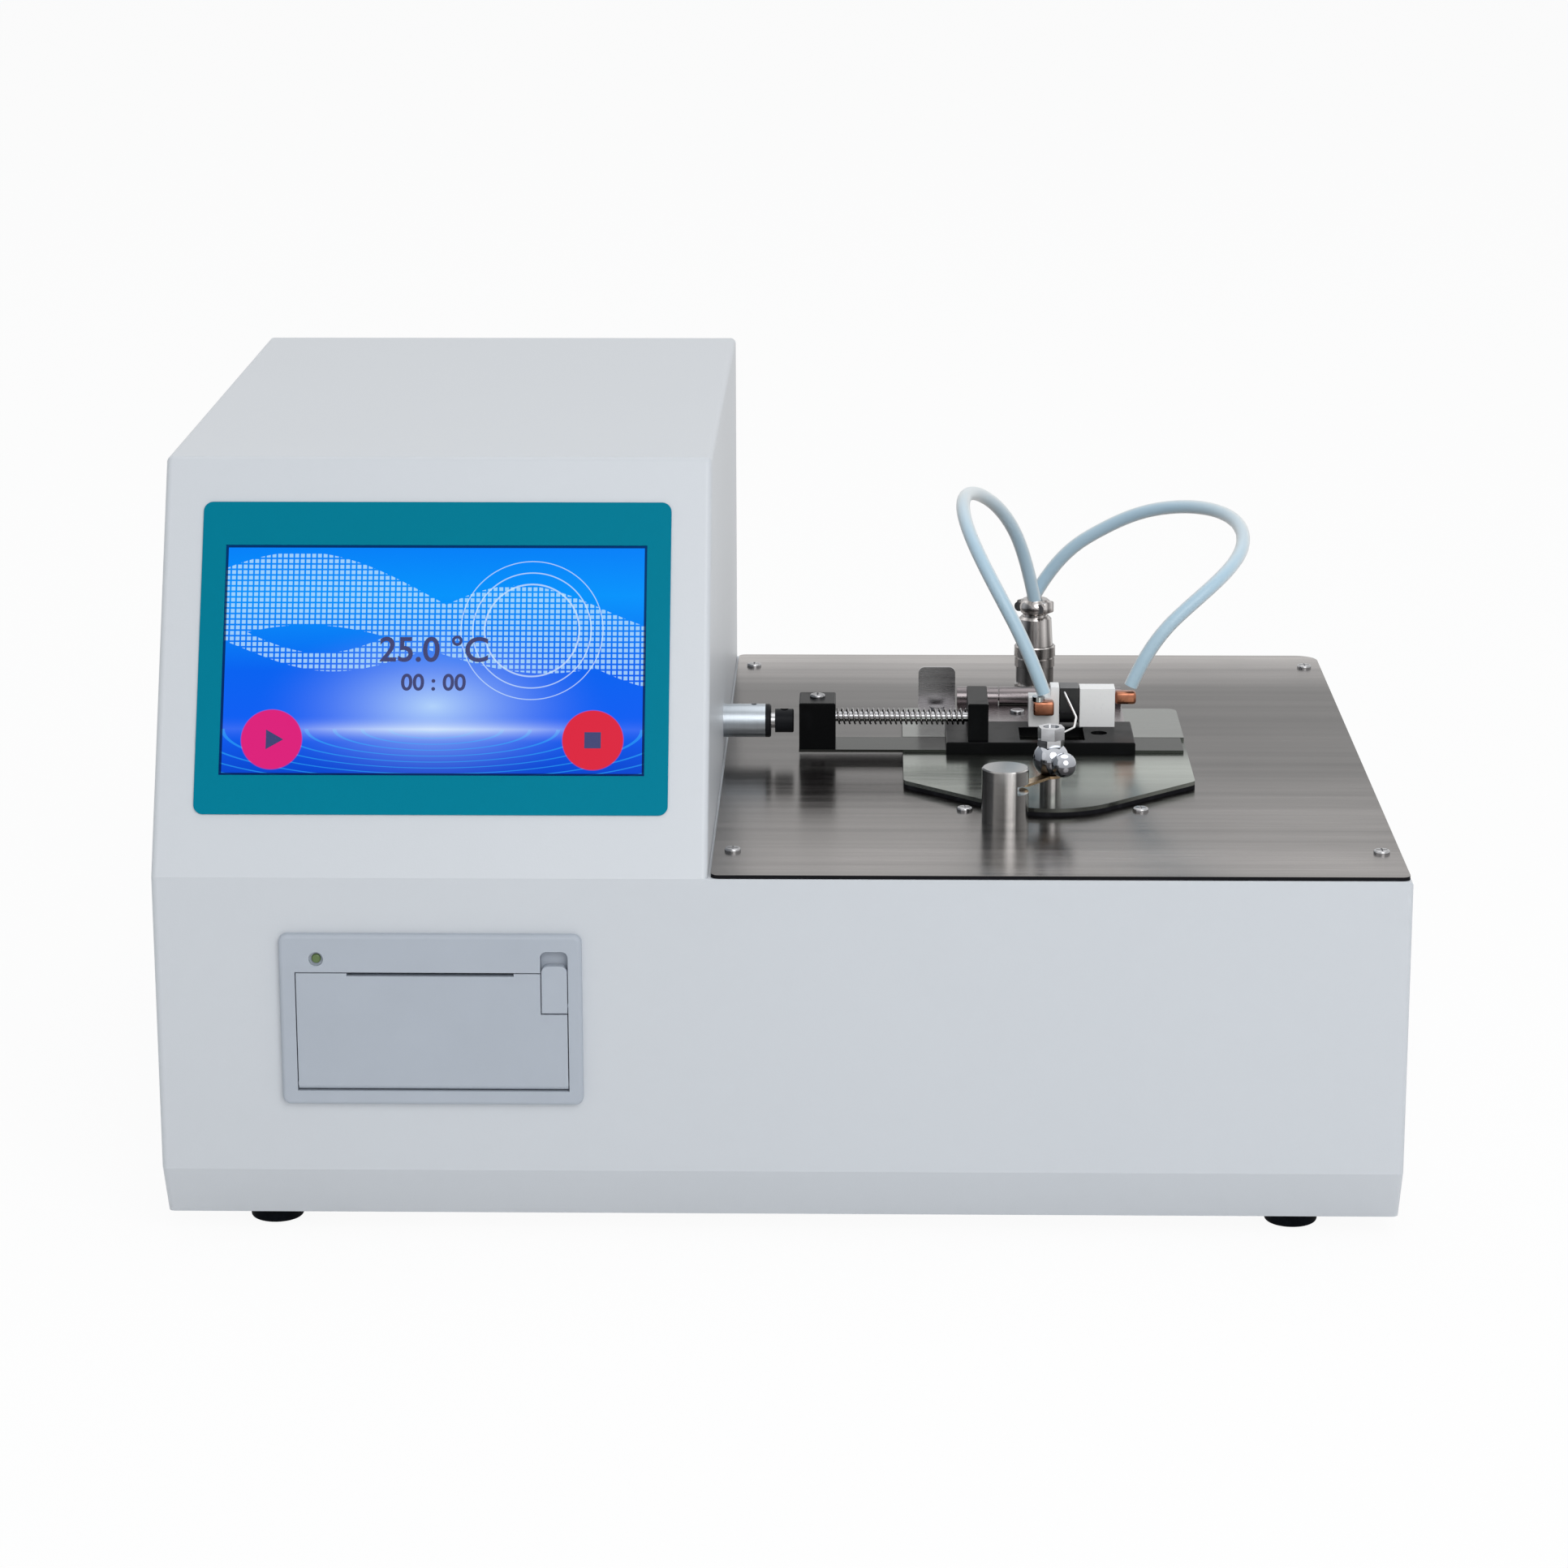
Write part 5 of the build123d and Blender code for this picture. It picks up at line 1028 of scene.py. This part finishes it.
class TESTER_OT_printer(TesterOperator, bpy.types.Operator):
    """Finishes the slip printer with its door, roller, lever and roll"""

    bl_idname = "tester.printer"
    bl_label = "Printer"

    def execute(self, context):
        shell = moulded(
            "printer_shell", self.colours.printer, roughness=0.46, grain=2200, depth=0.00003,
        )
        dress(shell, "printer_case", "printer_door", "printer_lever")
        pocket = block(*LEVER_POCKET, edge=0.2)
        add_built("lever_pocket_floor", "base", shell, [pocket])
        dress(moulded("lamp_lens", (0.10, 0.16, 0.05), roughness=0.15), "printer_led")
        dress(moulded("head_plastic", (0.02, 0.02, 0.022)), "print_head")
        dress(rubber("platen_rubber", (0.02, 0.02, 0.02)), "platen_roller")
        dress(paper("roll_paper", (0.86, 0.86, 0.83)), "paper_roll")
        return {"FINISHED"}


class TESTER_OT_deck(TesterOperator, bpy.types.Operator):
    """Finishes the deck plate, its gasket and screws and the catch pillar"""

    bl_idname = "tester.deck"
    bl_label = "Deck"

    def execute(self, context):
        # The deck's tones along Y are painted reflections.
        plate = brushed(
            "deck_steel", self.colours.deck, (26, 1500, 1500),
            roughness=0.20, contrast=0.10, broad=0.26, depth=0.000003,
            fade=DECK_REFLECTIONS, edge=0.68, rim=DECK_RIM,
        )
        # The deck plate's cut edge is painted near black, a painted shade.
        dress(plate, "deck_plate")
        dress(rubber("gasket_rubber", (0.010, 0.010, 0.012)), "deck_gasket", "lid_gasket")
        screws = polished("screw_steel", (0.40, 0.40, 0.41), roughness=0.16)
        dress(screws, "deck_screws", "lid_screws")
        steel = (0.90, 0.89, 0.88)
        # The pillar and post carry painted reflections round their axes.
        dress(turned("pillar_steel", steel, PILLAR, PILLAR_REFLECTIONS, PILLAR_TOP), "catch_pillar")
        dress(turned("post_steel", steel, POST, PILLAR_REFLECTIONS, PILLAR_TOP), "latch_post")
        barrel = brushed(
            "barrel_steel", (0.185, 0.165, 0.170), (60, 1800, 1800),
            roughness=0.26, contrast=0.12,
        )
        dress(barrel, "hinge_deck_leaf", "hinge_pin")
        return {"FINISHED"}


class TESTER_OT_pusher(TesterOperator, bpy.types.Operator):
    """Finishes the pusher with its sleeve, cap, plunger and tip"""

    bl_idname = "tester.pusher"
    bl_label = "Pusher"

    def execute(self, context):
        round_grain = (5200, 90, 90)
        sleeve = brushed(
            "sleeve_metal", (0.42, 0.46, 0.50), round_grain,
            roughness=0.34, contrast=0.05, broad=0.04,
        )
        dress(sleeve, "actuator_sleeve")
        dress(anodised("tip_black", (0.012, 0.013, 0.015)), "plunger_tip", "sleeve_cap")
        steel = brushed("plunger_steel", (0.45, 0.45, 0.46), round_grain, roughness=0.2)
        dress(steel, "plunger")
        dress(anodised("motor_case", (0.05, 0.05, 0.055)), "actuator_body")
        return {"FINISHED"}


class TESTER_OT_lid(TesterOperator, bpy.types.Operator):
    """Finishes the lid plate, guide plate, hinge leaf and lift tab"""

    bl_idname = "tester.lid"
    bl_label = "Lid"

    def execute(self, context):
        grain = (34, 1300, 1300)
        # The lid's tones along Y are painted reflections.
        plate = brushed(
            "lid_steel", self.colours.lid, grain,
            roughness=0.20, contrast=0.08, broad=0.18, depth=0.000003,
            fade=LID_REFLECTIONS, edge=0.74,
        )
        dress(plate, "lid_plate")
        # The guide plate and the shutter strip are darker copies of the lid's steel, a painted
        # shade.
        guide = brushed(
            "guide_steel", tinted(self.colours.lid, 0.30), grain,
            roughness=0.22, contrast=0.08, broad=0.2,
        )
        dress(guide, "guide_plate")
        strip = brushed(
            "strip_steel", tinted(self.colours.lid, 0.12), grain,
            roughness=0.18, contrast=0.08, broad=0.2, edge=0.7,
        )
        dress(strip, "shutter_strip")
        tab = brushed(
            "tab_steel", (0.34, 0.33, 0.34), (30, 1700, 1700),
            roughness=0.28, contrast=0.10, broad=0.12,
        )
        dress(tab, "lift_tab")
        leaf = brushed(
            "leaf_steel", (0.20, 0.18, 0.185), (60, 1700, 1700),
            roughness=0.24, contrast=0.10, broad=0.12,
        )
        dress(leaf, "hinge_lid_leaf")
        return {"FINISHED"}


class TESTER_OT_shutter(TesterOperator, bpy.types.Operator):
    """Finishes the shutter's blocks and rod and winds its return spring"""

    bl_idname = "tester.shutter"
    bl_label = "Shutter"

    def execute(self, context):
        black = anodised("block_black", (0.0022, 0.0024, 0.0028))
        dress(black, "shutter_guide", "guide_upright", "drive_block")
        bright = polished("rod_steel", (0.30, 0.30, 0.31), roughness=0.10)
        dress(bright, "guide_rod", "drive_screws", "return_spring")
        wound = polished("spring_steel", (0.27, 0.26, 0.26), roughness=0.10)
        add_spring("wound_spring", self.sizes.wire, self.sizes.turns, wound)
        return {"FINISHED"}


class TESTER_OT_igniter(TesterOperator, bpy.types.Operator):
    """Finishes the igniter's insulators, copper lugs, carrier and hot wire"""

    bl_idname = "tester.igniter"
    bl_label = "Igniter"

    def execute(self, context):
        white = ceramic("insulator_white", (0.95, 0.95, 0.95))
        dress(white, "terminal_block_left", "terminal_block_right")
        aged = copper("lug_copper", (0.42, 0.17, 0.10))
        ends = [block(*LEFT_LUG, edge=0.9), block(*RIGHT_LUG, edge=1.2)]
        lugs = add_built("copper_lugs", "lid", aged, ends)
        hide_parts("terminal_lugs")
        bright = polished("lug_steel", (0.62, 0.62, 0.63), roughness=0.1)
        head = stud(LUG_SCREW, radius=2.5, length=1.9, along=UPRIGHT)
        add_built("lug_screw_head", "lid", bright, [head])
        black = moulded("carrier_black", (0.008, 0.008, 0.010), roughness=0.3)
        dress(black, "igniter_carrier")
        dress(polished("hot_wire", (0.72, 0.72, 0.72), roughness=0.2), "igniter_wire")
        return {"FINISHED"}


class TESTER_OT_latch(TesterOperator, bpy.types.Operator):
    """Finishes the latch with its ball handle, bolt and bronze tongue"""

    bl_idname = "tester.latch"
    bl_label = "Latch"

    def execute(self, context):
        # The ball's dark lower part and light upper part are a painted reflection.
        dark, light = (0.05, 0.05, 0.06), (0.54, 0.56, 0.60)
        dress(mirror("chrome", dark, light, BALL_DARK, BALL_LIGHT), "latch_ball")
        dress(polished("bolt_steel", (0.50, 0.51, 0.53)), "latch_bolt")
        dress(copper("tongue_bronze", (0.46, 0.33, 0.20)), "latch_tongue")
        return {"FINISHED"}


class TESTER_OT_connector(TesterOperator, bpy.types.Operator):
    """Finishes the nickel-plated connector"""

    bl_idname = "tester.connector"
    bl_label = "Connector"

    def execute(self, context):
        # The connector's nickel carries painted reflections round its axis.
        nickel = turned(
            "nickel", (0.82, 0.78, 0.76), CONNECTOR, NICKEL_REFLECTIONS, DECK_TOP + CONNECTOR_HEIGHT,
        )
        nut = stud(
            (*CONNECTOR, DECK_TOP + NUT_MIDDLE), NUT_RADIUS, NUT_HEIGHT, UPRIGHT, sides=6,
        )
        add_turned(
            "socket_shell", "connector_socket", "base", CONNECTOR, SOCKET_PROFILE, nickel, [nut],
        )
        add_turned("ring_shell", "coupling_ring", "ring", CONNECTOR, RING_PROFILE, nickel)
        clamp = Vector((*CONNECTOR, DECK_TOP + CLAMP_MIDDLE))
        lean = Matrix.Rotation(radians(CLAMP_TURN), 3, "Z")
        facing = lean @ Vector((0, -1, 0))
        bar = block(clamp, CLAMP_BAR, CLAMP_TURN, edge=0.8)
        heads = [
            stud(clamp + lean @ Vector(place), radius=2.0, length=1.4, along=facing)
            for place in CLAMP_SCREWS
        ]
        add_turned(
            "plug_shell", "connector_plug", "base", CONNECTOR, PLUG_PROFILE, nickel,
            [*heads, bar],
        )
        return {"FINISHED"}


class TESTER_OT_leads(TesterOperator, bpy.types.Operator):
    """Runs the two igniter leads from the connector to the lugs"""

    bl_idname = "tester.leads"
    bl_label = "Leads"

    def execute(self, context):
        tube = silicone("lead_silicone")
        add_lead("lead_left", LEFT_ROUTE, self.sizes.lead, tube)
        add_lead("lead_right", RIGHT_ROUTE, self.sizes.lead, tube)
        return {"FINISHED"}


class TESTER_OT_inside(TesterOperator, bpy.types.Operator):
    """Finishes the cup, cooler, fan and the other pieces inside the housing"""

    bl_idname = "tester.inside"
    bl_label = "Inside"

    def execute(self, context):
        cup = brushed("cup_metal", (0.62, 0.62, 0.61), (900, 900, 900), roughness=0.25)
        dress(cup, "cup_block")
        dress(moulded("ring_plastic", (0.78, 0.78, 0.76)), "cup_insulator")
        dress(ceramic("cooler_plates", (0.82, 0.82, 0.80)), "cooler_module")
        sink = brushed("sink_metal", (0.50, 0.51, 0.52), (30, 800, 800), roughness=0.35)
        dress(sink, "heat_sink")
        dress(moulded("fan_plastic", (0.015, 0.015, 0.017)), "fan_frame", "fan_rotor")
        dress(circuit_board("board_green"), "control_board")
        case = brushed("supply_case", (0.55, 0.56, 0.57), (700, 40, 700), roughness=0.35)
        dress(case, "power_supply")
        return {"FINISHED"}


class TESTER_PT_panel(bpy.types.Panel):
    """Lists the tester's settings and pieces"""

    bl_label = "Flash Point Tester"
    bl_idname = "TESTER_PT_panel"
    bl_space_type = "VIEW_3D"
    bl_region_type = "UI"
    bl_category = "Flash Point"

    def draw(self, context):
        for group in ("tester_colours", "tester_sizes", "tester_stage"):
            settings = getattr(context.scene, group)
            for name in settings.__annotations__:
                self.layout.prop(settings, name)
        for operator in OPERATORS:
            self.layout.operator(operator.bl_idname)


GROUPS = {
    "tester_colours": TesterColours,
    "tester_sizes": TesterSizes,
    "tester_stage": TesterStage,
}
OPERATORS = (
    TESTER_OT_stage,
    TESTER_OT_leads,
    TESTER_OT_housing,
    TESTER_OT_display,
    TESTER_OT_printer,
    TESTER_OT_deck,
    TESTER_OT_pusher,
    TESTER_OT_lid,
    TESTER_OT_shutter,
    TESTER_OT_igniter,
    TESTER_OT_latch,
    TESTER_OT_connector,
    TESTER_OT_inside,
)


def register():
    for kind in (*GROUPS.values(), *OPERATORS, TESTER_PT_panel):
        bpy.utils.register_class(kind)
    for name, group in GROUPS.items():
        setattr(bpy.types.Scene, name, bpy.props.PointerProperty(type=group))


def unregister():
    for name in GROUPS:
        delattr(bpy.types.Scene, name)
    for kind in reversed((*GROUPS.values(), *OPERATORS, TESTER_PT_panel)):
        bpy.utils.unregister_class(kind)


def main():
    register()
    for operator in OPERATORS:
        group, name = operator.bl_idname.split(".")
        getattr(getattr(bpy.ops, group), name)()


if __name__ == "__main__":
    main()
